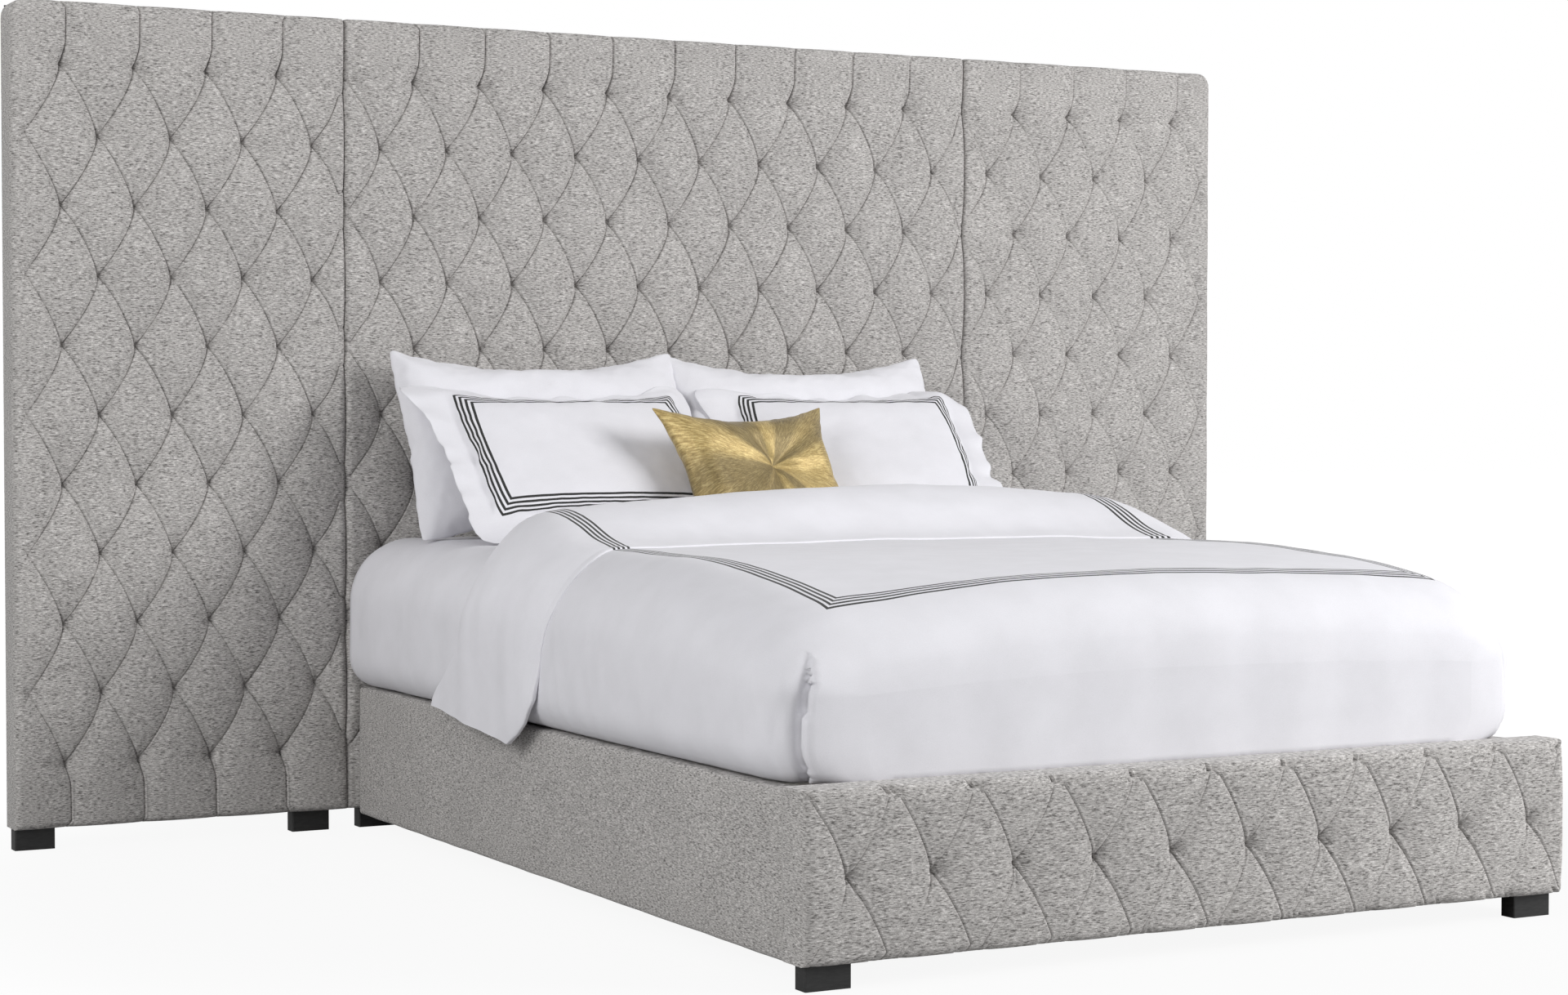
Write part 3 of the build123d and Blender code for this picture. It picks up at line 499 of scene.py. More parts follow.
# ---- Footboard ----
# One row of tufts, with pleats from the top edge down and round under the bottom, over a timber core.
# The pad wraps the front, the ends, the top and the inside face.
low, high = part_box("footboard_pad")
core_low, core_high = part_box("footboard_core")
pad, middle, width, height = tufted_front("footboard_tufting", "footboard_pad", lowest_tuft - tuft_row,
                                          high.z - edge_radius, low.z + edge_radius, high.y - edge_radius,
                                          drawn_in=(0.80, 0.30, 0.45))
for turn, last in ((30, 0), (60, 30), (90, 60)):
    now, before = (edge_radius * (1 - sin(radians(90 - t))) for t in (turn, last))
    grow_border([((width - 2 * now) / (width - 2 * before), (height - 2 * now) / (height - 2 * before),
                  edge_radius * (sin(radians(turn)) - sin(radians(last))))], middle)
finish_pad(pad, "footboard_pad")
cut_pocket(pad, core_low - Vector((0.0003, 0.0003, 0.02015)), core_high + Vector((0.0003, 0.0003, 0.00015)))
dress(["footboard_core"], softwood)

# ---- Side rails ----
# Pine boards under thin wadding and the same fabric, drawn tight, with a pine ledger cleat inside.
for side in ("left", "right"):
    low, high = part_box(side + "_rail_pad")
    board_low, board_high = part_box(side + "_rail_board")
    size, middle = high - low, (low + high) / 2
    rail = start_block(side + "_rail_cover", low, high)
    bpy.ops.mesh.bevel(offset=0.009, segments=4, affect="EDGES")
    add_rows(1, [low.y + size.y * step / 90 for step in range(1, 90)])
    add_rows(2, [low.z + size.z * step / 12 for step in range(1, 12)])
    bpy.ops.object.mode_set(mode="OBJECT")
    for point in rail.data.vertices:
        # The foam is a little uneven under the cloth, most of all along the top and bottom edges
        p = point.co
        edge = abs(p.z - middle.z) / (size.z / 2)
        wave = noise.noise(Vector((p.x * 2, p.y * 5, p.z * 4)))
        if abs(p.x - middle.x) > 0.012 and (p.x - middle.x) * middle.x > 0:
            p.x += (0.0016 * wave - 0.0012 * edge) * (1 if p.x > 0 else -1)
        if edge > 0.9:
            p.z += 0.0016 * noise.noise(Vector((3, p.y * 9, p.x * 30)))
    # The pocket is open towards the middle of the bed
    margin, inward = Vector((0.01, 0.01, 0.0003)), Vector((-0.0097 if low.x > 0 else 0.0097, 0, 0))
    cut_pocket(rail, board_low - margin + inward, board_high + margin + inward)
    rail.select_set(True)
    bpy.ops.object.shade_smooth_by_angle(angle=radians(50))
    finish_soft(rail, "bed_frame", tufted_fabric, side + "_rail_pad")
dress(["left_rail_board", "right_rail_board", "left_rail_cleat", "right_rail_cleat"], softwood)

# ---- Feet, slatted base and fastenings ----
# Block feet painted black, pine slats on a centre beam with screw-in nylon glides, powder-coated
# steel brackets and hangers, and zinc-plated bolts and screws.
black_paint, tree, place, shader = new_material("black_paint", roughness=0.42)
fine = stretched(tree, place, (60, 60, 240), 4.0)
colour = ramp(tree, fine, (0.3, grey(0.012)), (0.7, grey(0.024)))
paint(tree, shader, colour, fine, 0.12, 0.0005)

bracket_steel, tree, place, shader = new_material("bracket_steel", roughness=0.5, Metallic=0.35)
peel = stretched(tree, place, (900, 900, 900), 2.0)
colour = ramp(tree, peel, (0.3, grey(0.03)), (0.7, grey(0.05)))
paint(tree, shader, colour, peel, 0.3, 0.0003)

zinc, tree, place, shader = new_material("zinc_fastener", roughness=0.3, Metallic=1.0)
spangle = add_node(tree, "TexVoronoi", Vector=place, Scale=420.0).outputs[1]
colour = mix(tree, "MIX", 0.12, (0.62, 0.62, 0.60, 1), spangle)
paint(tree, shader, colour)

nylon, tree, place, shader = new_material("glide_plastic", roughness=0.45)
flow = stretched(tree, place, (300, 300, 120), 2.0)
colour = ramp(tree, flow, (0.3, grey(0.02)), (0.7, grey(0.035)))
paint(tree, shader, colour)

dress(["headboard_feet", "left_wing_feet", "right_wing_feet", "footboard_feet"], black_paint)
dress(["centre_beam", "centre_legs"] + [f"slat_{n}" for n in range(1, 9)], softwood)
dress(["corner_brackets", "beam_hangers", "wing_joining_plates"], bracket_steel)
dress(["bracket_bolts", "bracket_screws", "joining_screws", "foot_bolts"], zinc)
dress([f"centre_glide_{n}" for n in (1, 2, 3)], nylon)

# ---- Box spring and mattress ----
# Ticking over a timber box and over quilted foam, closed with a sewn tape edge at the top and bottom.
ticking, tree, place, shader = new_material("ticking", roughness=0.88, sheen=0.1)
yarn = stretched(tree, place, (600, 600, 600), 2.0)
stripes = add_node(tree, "TexWave", {"wave_type": "BANDS", "bands_direction": "DIAGONAL"}, Vector=place,
                   Scale=26.0).outputs[1]
colour = ramp(tree, stripes, (0.0, (0.66, 0.65, 0.61, 1)), (0.9, (0.78, 0.77, 0.73, 1)),
              (1.0, (0.70, 0.69, 0.66, 1)))
colour = mix(tree, "MULTIPLY", 0.4, colour, ramp(tree, yarn, (0.3, grey(0.8)), (0.7, grey(1.0))))
paint(tree, shader, colour, yarn, 0.3, 0.0008)


def foot_fall(x, y):
    """How far the bedding's top has sunk towards its two foot corners, the left one a little more."""
    down = np.clip((-0.45 - y) / 0.50, 0, 1.3) ** 1.6
    return down * (0.015 + np.where(x < 0, 0.043, 0.032) * (x / 0.681) ** 2)


tape_inset = 0.010
for name, corner, quilting in (("box_spring", 0.020, 0.0), ("mattress", 0.045, 0.004)):
    low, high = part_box(name)
    size, middle, inset = high - low, (low + high) / 2, Vector((0.002, 0.002, 0.002))
    block = start_block(name + "_cover", low + inset, high - inset)
    bpy.ops.mesh.select_all(action="DESELECT")
    bpy.ops.object.mode_set(mode="OBJECT")
    for edge in block.data.edges:
        ends = [block.data.vertices[v].co for v in edge.vertices]
        edge.select = abs(ends[0].z - ends[1].z) > 0.01
    bpy.ops.object.mode_set(mode="EDIT")
    bpy.ops.mesh.select_mode(type="EDGE")
    bpy.ops.mesh.bevel(offset=corner, segments=5, affect="EDGES")
    # A tape edge stands a little proud along the top and the bottom
    for height in (high.z - tape_inset, low.z + tape_inset):
        add_rows(2, [height - 0.007, height, height + 0.007])
    if quilting:
        add_rows(1, [low.y + size.y * step / 40 for step in range(1, 40)])
        add_rows(0, [low.x + size.x * step / 30 for step in range(1, 30)])
    bpy.ops.object.mode_set(mode="OBJECT")
    for point in block.data.vertices:
        p = point.co
        level = abs(p.z - middle.z)
        if abs(level - (size.z / 2 - tape_inset)) < 0.001:
            p.x += 0.002 * (1 if p.x > 0 else -1)
            p.y += 0.002 * (1 if p.y > middle.y else -1)
        elif quilting and level > size.z / 2 - 0.004:
            inside = min(abs(p.x) < size.x / 2 - 0.03, abs(p.y - middle.y) < size.y / 2 - 0.03)
            p.z -= inside * quilting * abs(sin(p.x * 31)) * abs(sin(p.y * 31)) * (1 if p.z > middle.z else -1)
        if quilting and p.z > middle.z + 0.03:
            past = np.clip([(abs(p.x) - size.x / 2 + 0.10) / 0.10,
                            (abs(p.y - middle.y) - size.y / 2 + 0.08) / 0.08], 0, 1)
            p.z -= 0.040 * float((past ** 2).sum()) + float(foot_fall(p.x, p.y))
    bpy.ops.object.shade_smooth_by_angle(angle=radians(40))
    finish_soft(block, "mattress" if quilting else "bed_frame", ticking, name)

# ---- White bedding cotton ----
# Crisp white percale. The duvet and the shams have a band of four thin black lines sewn
# parallel to their edges, mitred at the corners.
stripe_pitch, stripe_width = 0.0125, 0.0064
band_half_width, band_foot_y = 0.681, -0.952


def white_cotton(name, banded=None, bright=1.0):
    """White cotton; banded gives the shader a distance outside the band's outer line, in metres."""
    material, tree, place, shader = new_material(name, roughness=0.8, sheen=0.08)
    weave = stretched(tree, place, (900, 900, 900), 2.0)
    # Painted shade of soft creases: the white drifts a little darker and lighter in crease-sized patches
    creases = stretched(tree, place, (14, 14, 14), 4.0)
    colour = ramp(tree, creases, (0.35, (0.755, 0.748, 0.785, 1)), (0.65, (0.785, 0.778, 0.818, 1)))
    colour = mix(tree, "MULTIPLY", 1.0, colour, grey(bright))
    colour = mix(tree, "MULTIPLY", 0.25, colour, ramp(tree, weave, (0.35, grey(0.8)), (0.6, grey(1.0))))
    if banded:
        outside = banded(tree, place)
        inward = maths(tree, "MULTIPLY", outside, -1.0)
        within = maths(tree, "LESS_THAN", inward, 3 * stripe_pitch + stripe_width)
        started = maths(tree, "GREATER_THAN", inward, 0.0)
        phase = maths(tree, "MODULO", inward, stripe_pitch)
        line = maths(tree, "LESS_THAN", phase, stripe_width)
        line = maths(tree, "MULTIPLY", line, within)
        line = maths(tree, "MULTIPLY", line, started)
        stitches = ramp(tree, weave, (0.35, grey(0.004)), (0.65, grey(0.018)))
        colour = mix(tree, "MIX", line, colour, stitches)
    paint(tree, shader, colour, weave, 0.18, 0.0006)
    return material


def duvet_band(tree, place):
    """Distance outside the duvet's line of bands, from the duvet's own place."""
    axes = add_node(tree, "SeparateXYZ", _0=place)
    across = maths(tree, "ABSOLUTE", axes.outputs[0])
    across = maths(tree, "SUBTRACT", across, band_half_width)
    along = maths(tree, "SUBTRACT", band_foot_y, axes.outputs[1])
    return maths(tree, "MAXIMUM", across, along)


sheet_cotton = white_cotton("white_sheet", bright=1.04)
duvet_cotton = white_cotton("white_duvet", duvet_band)
# The turned-back end has the duvet's own banded cotton made 7 % brighter: painted light
lightened_duvet_cotton = white_cotton("white_duvet_lightened", duvet_band, bright=1.07)

# ---- Comforter and duvet ----
# The comforter lies over the mattress at the head end. The duvet lies over the rest, tucked inside
# the rails and the footboard, and its head end is turned back over itself with its corners hanging.
def rounded(value, reach, radius):
    """How far in a rounded corner pulls a flat face, for a place within its radius of the end."""
    t = np.clip((np.abs(value) - (reach - radius)) / radius, 0, 1)
    return radius * (1 - (1 - t ** 2.4) ** (1 / 2.4))


def soft_block(name, low, high, top_radius, low_radius, end_radii, cell, shape, fine=()):
    """A closed, rounded block of bedding with points a cell apart, and more where the (axis, place) pairs of
    fine say; shape(x, y, z) moves its points in code to give its drape."""
    size, middle = high - low, (low + high) / 2
    block = start_block(name, low, high)
    for axis in range(3):
        count = round(size[axis] / cell)
        add_rows(axis, [low[axis] + size[axis] * step / count for step in range(1, count)])
        add_rows(axis, [extra for along, extra in fine if along == axis])
    bpy.ops.object.mode_set(mode="OBJECT")
    co = points_of(block)
    x, y, z = co[:, 0] - middle.x, co[:, 1].copy(), co[:, 2] - middle.z
    radius = np.where(z > 0, top_radius, low_radius)
    for_x, for_z = np.sign(x) * (size.x / 2 - radius), np.sign(z) * (size.z / 2 - radius)
    dx = np.where(np.abs(x) > np.abs(for_x), x - for_x, 0)
    dz = np.where(np.abs(z) > np.abs(for_z), z - for_z, 0)
    length = np.hypot(dx, dz)
    factor = np.where(length > 0, np.maximum(np.abs(dx), np.abs(dz)) / np.maximum(length, 1e-9), 1)
    x, z = x + dx * (factor - 1), z + dz * (factor - 1)
    inward = (rounded(np.maximum(y - middle.y, 0), size.y / 2, end_radii[0])
              + rounded(np.maximum(middle.y - y, 0), size.y / 2, end_radii[1]))
    x = x * (1 - inward / (size.x / 2))
    z = z - inward * np.clip(z / (size.z / 2), 0, 1)
    x, y, z = shape(x + middle.x, y, z + middle.z)
    block.data.vertices.foreach_set("co", np.stack([x, y, z], 1).ravel())
    bpy.ops.object.shade_smooth()
    return block


def surface_of(piece):
    """A mesh's surface, for finding what lies against it."""
    return BVHTree.FromPolygons([point.co for point in piece.data.vertices],
                                [face.vertices[:] for face in piece.data.polygons])


def waves(x, y, z, scale, seed):
    """Smooth noise at many points, the same on every run."""
    return np.array([noise.noise(Vector((px * scale + seed, py * scale, pz * scale)))
                     for px, py, pz in zip(x, y, z)])


comforter_low, comforter_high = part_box("comforter")
duvet_low, duvet_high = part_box("duvet")
duvet_start = comforter_high.y - 0.788  # where the duvet comes out from under its turned-back end


def comforter_drape(x, y, z):
    """Soft sideways swell, with long slanting folds down the sides."""
    side = np.clip((np.abs(x) - 0.70) / 0.10, 0, 1)
    folds = 0.4 * np.sin((y * 0.9 + z * 0.5) * 26) + waves(x, y * 1.3, z * 0.7, 6, 3)
    folds = folds + 0.5 * waves(0 * x, y + 0.35 * z, 0.25 * z, 19, 7)
    x = x + np.sign(x) * side * folds * 0.005
    z = z + (1 - side) * 0.004 * waves(x, y, z, 7, 9)
    return x, y, z


comforter = soft_block("comforter_cover", Vector((comforter_low.x, duvet_start - 0.05, comforter_low.z)),
                       comforter_high, top_radius=0.150, low_radius=0.075, end_radii=(0.045, 0.02),
                       cell=0.022, shape=comforter_drape)
finish_soft(comforter, "mattress", sheet_cotton, "comforter")


corner_fold_x, corner_fold_y, corner_fold_top = 0.715, -0.955, 0.565


def duvet_drape(x, y, z):
    """The top is crowned and falls to its two foot corners, where a creased fold stands under each."""
    upper = np.clip((z - 0.42) / 0.27, 0, 1)
    z = z - upper * foot_fall(x, y)
    shoulder = np.clip((z - 0.45) / 0.20, 0, 1) ** 1.5 * np.clip((np.abs(x) - 0.60) / 0.15, 0, 1)
    x = x - np.sign(x) * 0.022 * shoulder
    side = np.clip((np.abs(x) - 0.70) / 0.12, 0, 1) * np.clip((z - 0.30) / 0.06, 0, 1)
    near_fold = np.exp(-np.clip(0.0 - y, 0, 2) / 0.20)
    gathers = (0.0050 * near_fold + 0.0014) * waves(0 * x, y * 38 + 2 * np.sin(z * 7), z * 2.2, 1, 6)
    swell = 0.006 * waves(x, y, z, 3.2, 5) + 0.0018 * waves(x, y, z, 14, 8)
    x = x + np.sign(x) * side * (gathers + swell)
    z = z + upper * (1 - side) * (0.005 * waves(x, y, z, 3.5, 2) + 0.0015 * waves(x, y, z, 12, 7))
    front = np.clip((-0.94 - y) / 0.10, 0, 1)
    y = y - front * (0.002 * np.sin(x * 31) + 0.003 * waves(x, y, z, 5, 4) - 0.004)
    # The corner fold, below the top's rounding: the front's edge stands out in a lip, and the side tucks in
    # beside it
    dx, dy = np.abs(x) - corner_fold_x, corner_fold_y - y
    turn = np.arctan2(dy, dx) - radians(57) + 0.05 * np.sin(z * 31 + 1) - 0.25 * np.clip(z - 0.42, 0, 0.2)
    standing = np.clip((corner_fold_top - z) / 0.06, 0, 1)
    standing = standing * np.clip((np.hypot(dx, dy) - 0.03) / 0.05, 0, 1)
    standing = standing * ((dx > 0) | (dy > 0))
    tuck = np.where(turn > 0, 0.010 * np.exp(-turn / 0.14), -0.016 * np.exp(turn / 0.16))
    tuck = (tuck - 0.016 * np.exp(-((turn + 0.05) / 0.085) ** 2)
            + 0.003 * np.exp(-((turn + 0.45) / 0.10) ** 2) * np.sin(z * 40))
    x = x + np.sign(x) * standing * tuck * 0.65
    y = y - standing * tuck * 0.75
    return x, y, z


fold_top = duvet_high.z
fine_cell = 0.0055  # round the corner folds
corner_rows = [(0, way * (corner_fold_x + fine_cell * step)) for way in (-1, 1) for step in range(24)]
corner_rows += [(1, duvet_low.y + fine_cell * step) for step in range(1, 25)]
duvet = soft_block("duvet_cover", Vector((-0.842, duvet_low.y, duvet_low.z + 0.042)),
                   Vector((0.842, duvet_start + 0.10, 0.694)), top_radius=0.165, low_radius=0.070,
                   end_radii=(0.03, 0.175), cell=0.0165, shape=duvet_drape, fine=corner_rows)
finish_soft(duvet, "mattress", duvet_cotton, "duvet")

# The turned-back end runs across the bed, from one hanging corner up over the top to the other.
# Along its run: distance from the left corner's lowest point, then its back edge and its front edge
fold_reach, shoulder_width, shoulder_height, flap_foot = 0.866, 0.195, 0.290, 0.300
side_layer = 0.020  # its thickness down the sides
corner_drop = fold_top - shoulder_height - flap_foot
fold_bed = 0.688  # the roll's underside
fold_stations = np.array([0, 0.04, 0.10, 0.18, 0.29, 0.35, 0.42, 0.50, 0.587, 0.75, 0.95, 1.31])
fold_back_edge = np.array([0.490, 0.475, 0.415, 0.345, 0.310, 0.315, 0.335, 0.370, 0.400, 0.415,
                           0.424, 0.427])
fold_front_edge = np.array([0.065, -0.010, -0.050, -0.056, -0.088, -0.092, -0.088, -0.078, -0.060, -0.012,
                            0.030, 0.046])
fold_round, fold_cuts = 140, 100  # points round the roll, and cuts along its run
bpy.ops.object.select_all(action="DESELECT")
bpy.ops.mesh.primitive_cylinder_add(vertices=fold_round, radius=1, depth=2, end_fill_type="NGON")
fold = bpy.context.object
fold.name = "duvet_fold"
bpy.ops.object.mode_set(mode="EDIT")
bpy.ops.mesh.select_mode(type="EDGE")
bpy.ops.mesh.select_all(action="DESELECT")
bpy.ops.object.mode_set(mode="OBJECT")
for edge in fold.data.edges:
    ends = [fold.data.vertices[v].co.z for v in edge.vertices]
    edge.select = abs(ends[0] - ends[1]) > 1
bpy.ops.object.mode_set(mode="EDIT")
bpy.ops.mesh.subdivide(number_cuts=fold_cuts)
bpy.ops.mesh.select_mode(type="VERT")
bpy.ops.object.mode_set(mode="OBJECT")
# Laid along its run: up a corner's drop, round a shoulder, across the top, and down the same way
co = points_of(fold)
arc = pi / 2 * ((shoulder_width ** 2 + shoulder_height ** 2) / 2) ** 0.5
run = 2 * (corner_drop + arc + fold_reach - shoulder_width)
place = (co[:, 2] + 1) / 2 * run
from_end = np.minimum(place, run - place)
turn = np.clip((from_end - corner_drop) / arc, 0, 1) * pi / 2
side = np.where(place < run / 2, -1.0, 1.0)
over_top = np.clip(from_end - corner_drop - arc, 0, None)
base_x = side * (fold_reach - shoulder_width * (1 - np.cos(turn)) - over_top)
base_z = (flap_foot + np.clip(from_end, 0, corner_drop)
          + shoulder_height * np.sin(turn) ** np.where(side > 0, 0.8, 1))
back = np.interp(from_end, fold_stations, fold_back_edge)
front = np.interp(from_end, fold_stations, fold_front_edge)
length = np.hypot(co[:, 0], co[:, 1])
cosine, sine = co[:, 0] / length, co[:, 1] / length
share = 0.5 + 0.5 * np.sign(cosine) * np.abs(cosine) ** 0.55  # 0 at the back edge, 1 at the front
top_share = np.sin(turn) ** 2
# Over the bed the roll has its crest near the back and runs down to a thin front edge; its crest falls
# away to both sides from a place a little right of the middle. Down the sides it is one soft layer.
crest = fold_top + 0.001 - np.where(base_x > 0.20, 0.13, 0.0595) * (base_x - 0.20) ** 2
hump = np.where(share < 0.30, 1 - 0.30 * ((0.30 - share) / 0.30) ** 2,
                0.5 + 0.5 * np.cos(pi * np.clip((share - 0.30) / 0.70, 0, 1) ** 1.1))
roll = 0.016 + (crest - fold_bed) * hump
thick = top_share * roll + (1 - top_share) * side_layer
bulge = np.sign(sine) * np.abs(sine) ** 0.5
y = back + (front - back) * share
lift = thick / 2 * (bulge - 1) - top_share * (fold_top - fold_bed - roll)
lift = lift + 0.004 * np.clip(share - 0.5, 0, 0.5) * 2 * waves(base_x * 2.4, 0 * y, base_z * 2, 9, 5)
ripple = waves(base_x, y, base_z, 5, 1) * 0.006 + waves(base_x, y, base_z, 16, 6) * 0.0015
drape = 0.0035 * np.sin(y * 24 + 3.5 * base_z) + 0.0015 * np.sin(y * 57 - 6 * base_z)
lift = lift + (bulge + 1) / 2 * ripple * (0.4 + 0.6 * top_share) + (1 - top_share) * (drape - 0.004)
x = base_x + side * np.cos(turn) * lift
z = base_z + np.sin(turn) * lift
z = z + (1 - np.clip(from_end / 0.2, 0, 1)) * 0.043 * (1 - share)
y = y + 0.004 * waves(base_x, y * 0, base_z, 8, 3)
# Its front edge is laid down on the duvet, but for the hanging corners' lowest part
tree = surface_of(duvet)
hold = np.clip((share - 0.62) / 0.34, 0, 1) ** 2 * np.clip((base_z - 0.36) / 0.10, 0, 1)
for i in np.nonzero(hold)[0]:
    spot, facing = tree.find_nearest(Vector((x[i], y[i], z[i])))[:2]
    spot = spot + facing * (0.008 * bulge[i] + 0.010 * (1 - hold[i]) * (bulge[i] > 0))
    x[i], y[i], z[i] = Vector((x[i], y[i], z[i])).lerp(spot, hold[i])
fold.data.vertices.foreach_set("co", np.stack([x, y, z], 1).ravel())
bpy.ops.object.mode_set(mode="EDIT")
face_outwards()
bpy.ops.object.shade_smooth_by_angle(angle=radians(70))
finish_soft(fold, "mattress", lightened_duvet_cotton, "duvet")

# ---- Pillows, shams and the gold cushion ----
# Two-sided cotton cases sewn round their edges and stuffed, so they swell in the middle and
# pull in between their corners. The shams have a flat border all round, outside the seam.
def labels(case):
    """Each point's place across and up a case, from -1 to 1, and its layer: 1 in front, -1 behind."""
    found = np.zeros((3, len(case.data.vertices)))
    for row, label in zip(found, ("across", "upward", "layer")):
        case.data.attributes[label].data.foreach_get("value", row)
    return found


def stuffed(name, width, height, thickness, cell, seed, pinch):
    """A flat case of two layers, swollen by cloth simulation and drawn to its size: X across, Y up, Z front.
    Pinch is how far the middles of its sides are drawn in."""
    columns, rows = round(width / cell), round(height / cell)
    bpy.ops.object.select_all(action="DESELECT")
    bpy.ops.mesh.primitive_grid_add(x_subdivisions=columns, y_subdivisions=rows, size=1)
    case = bpy.context.object
    case.name = name
    bpy.ops.object.mode_set(mode="EDIT")
    bpy.ops.transform.resize(value=(width, height, 1))
    bpy.ops.mesh.extrude_region_move(TRANSFORM_OT_translate={"value": (0, 0, 0.008)})
    face_outwards()
    flat = points_of(case)
    u, v = flat[:, 0] / (width / 2), flat[:, 1] / (height / 2)
    front = flat[:, 2] > 0.004
    for label, values in (("across", u), ("upward", v), ("layer", np.where(front, 1.0, -1.0))):
        case.data.attributes.new(label, "FLOAT", "POINT").data.foreach_set("value", values)
    start = flat.copy()
    start[:, 0] -= u * pinch * (1 - v ** 2)
    start[:, 1] -= v * pinch * (1 - u ** 2)
    start[:, 2] += np.random.default_rng(seed).normal(0, 0.0012, len(flat))
    case.data.vertices.foreach_set("co", start.ravel())
    cloth = case.modifiers.new("stuffing", "CLOTH")
    cloth.settings.quality = 6
    cloth.settings.use_pressure = True
    cloth.settings.uniform_pressure_force = 3
    cloth.settings.tension_stiffness = cloth.settings.compression_stiffness = 12
    cloth.settings.shear_stiffness = 4
    cloth.settings.bending_stiffness = 0.4
    cloth.settings.effector_weights.gravity = 0
    cloth.collision_settings.use_collision = False
    cloth.point_cache.frame_end = 12
    for moment in range(1, cloth.point_cache.frame_end + 1):
        scene.frame_set(moment)
    bpy.ops.object.modifier_apply(modifier="stuffing")
    swollen = points_of(case)
    swollen -= (swollen.max(0) + swollen.min(0)) / 2
    swollen *= np.array([width, height, thickness]) / np.ptp(swollen, axis=0)
    case.data.vertices.foreach_set("co", swollen.ravel())
    return case


def square_sides(case):
    """Straightens a case's two sides, which the stuffing has drawn in."""
    co = points_of(case)
    u, v = labels(case)[:2]
    middle = np.abs(co[(np.abs(u) > 0.999) & (np.abs(v) < 0.1), 0]).mean()
    co[:, 0] *= 1 + 0.85 * (np.abs(co[:, 0]).max() / middle - 1) * (1 - v ** 2)
    case.data.vertices.foreach_set("co", co.ravel())


def add_border(case, width, seed, ears, falls):
    """Grows a thin, waving flange out of a case's seam in five rows. Ears: how much further its two upper
    corners reach. Falls: how far its left, right, top and bottom sides lean back, as angles."""
    u, v = labels(case)[:2]
    rim = (np.abs(u) > 0.999) | (np.abs(v) > 0.999)
    bpy.ops.object.select_all(action="DESELECT")
    case.select_set(True)
    bpy.context.view_layer.objects.active = case
    bpy.ops.object.mode_set(mode="EDIT")
    bpy.ops.mesh.select_mode(type="FACE")
    bpy.ops.mesh.select_all(action="DESELECT")
    bpy.ops.object.mode_set(mode="OBJECT")
    for face in case.data.polygons:
        face.select = all(rim[i] for i in face.vertices) and face.area < 0.012 * 0.02
    for row in range(1, 6):
        bpy.ops.object.mode_set(mode="EDIT")
        bpy.ops.mesh.extrude_region_move(TRANSFORM_OT_translate={"value": (0, 0, 0)})
        bpy.ops.object.mode_set(mode="OBJECT")
        u, v, layer = labels(case)
        co = points_of(case)
        chosen = np.zeros(len(co), bool)
        case.data.vertices.foreach_get("select", chosen)
        picked = np.nonzero(chosen)[0]
        picked = picked[np.lexsort((layer[picked], v[picked].round(4), u[picked].round(4)))]
        pairs = co[picked].reshape(-1, 2, 3).mean(1)  # the two layers' middle
        u, v = u[picked[::2]], v[picked[::2]]
        side_x, side_y = (np.where(np.abs(w) > 0.999, np.sign(w), 0) for w in (u, v))
        around = np.arctan2(v, u)
        wave = (0.6 * np.sin(17 * around + seed) + 0.25 * np.sin(29 * around + 2 * seed)
                + 0.5 * np.sin(7 * around + 3 * seed))
        half = np.array([np.ptp(co[:, 0]), np.ptp(co[:, 1])]) / 2
        left, right = (np.exp(-np.hypot((u + end) * half[0], (v - 1) * half[1]) / 0.06) for end in (1, -1))
        lean_x, lean_y = np.where(side_x < 0, falls[0], falls[1]), np.where(side_y > 0, falls[2], falls[3])
        reach = width / 5 * (1 + 0.05 * wave)
        pairs[:, 0] += reach * (side_x * np.cos(lean_x) + ears[1] * right - ears[0] * left)
        pairs[:, 1] += reach * side_y * np.cos(lean_y)
        pairs[:, 2] -= reach * np.maximum(np.abs(side_x) * np.sin(lean_x), np.abs(side_y) * np.sin(lean_y))
        pairs[:, 2] += 0.00055 * row * wave
        # Its two layers lie closer together with each row
        co[picked] = np.repeat(pairs, 2, 0)
        co[picked, 2] += layer[picked] * (0.0032 - 0.0004 * row)
        case.data.vertices.foreach_set("co", co.ravel())
    bpy.ops.object.mode_set(mode="EDIT")
    face_outwards()


lift_room, lift_forward, lift_upward = 0.09, 0.5, 0.866  # the pillows' way out of the bed, leaning 30 degrees


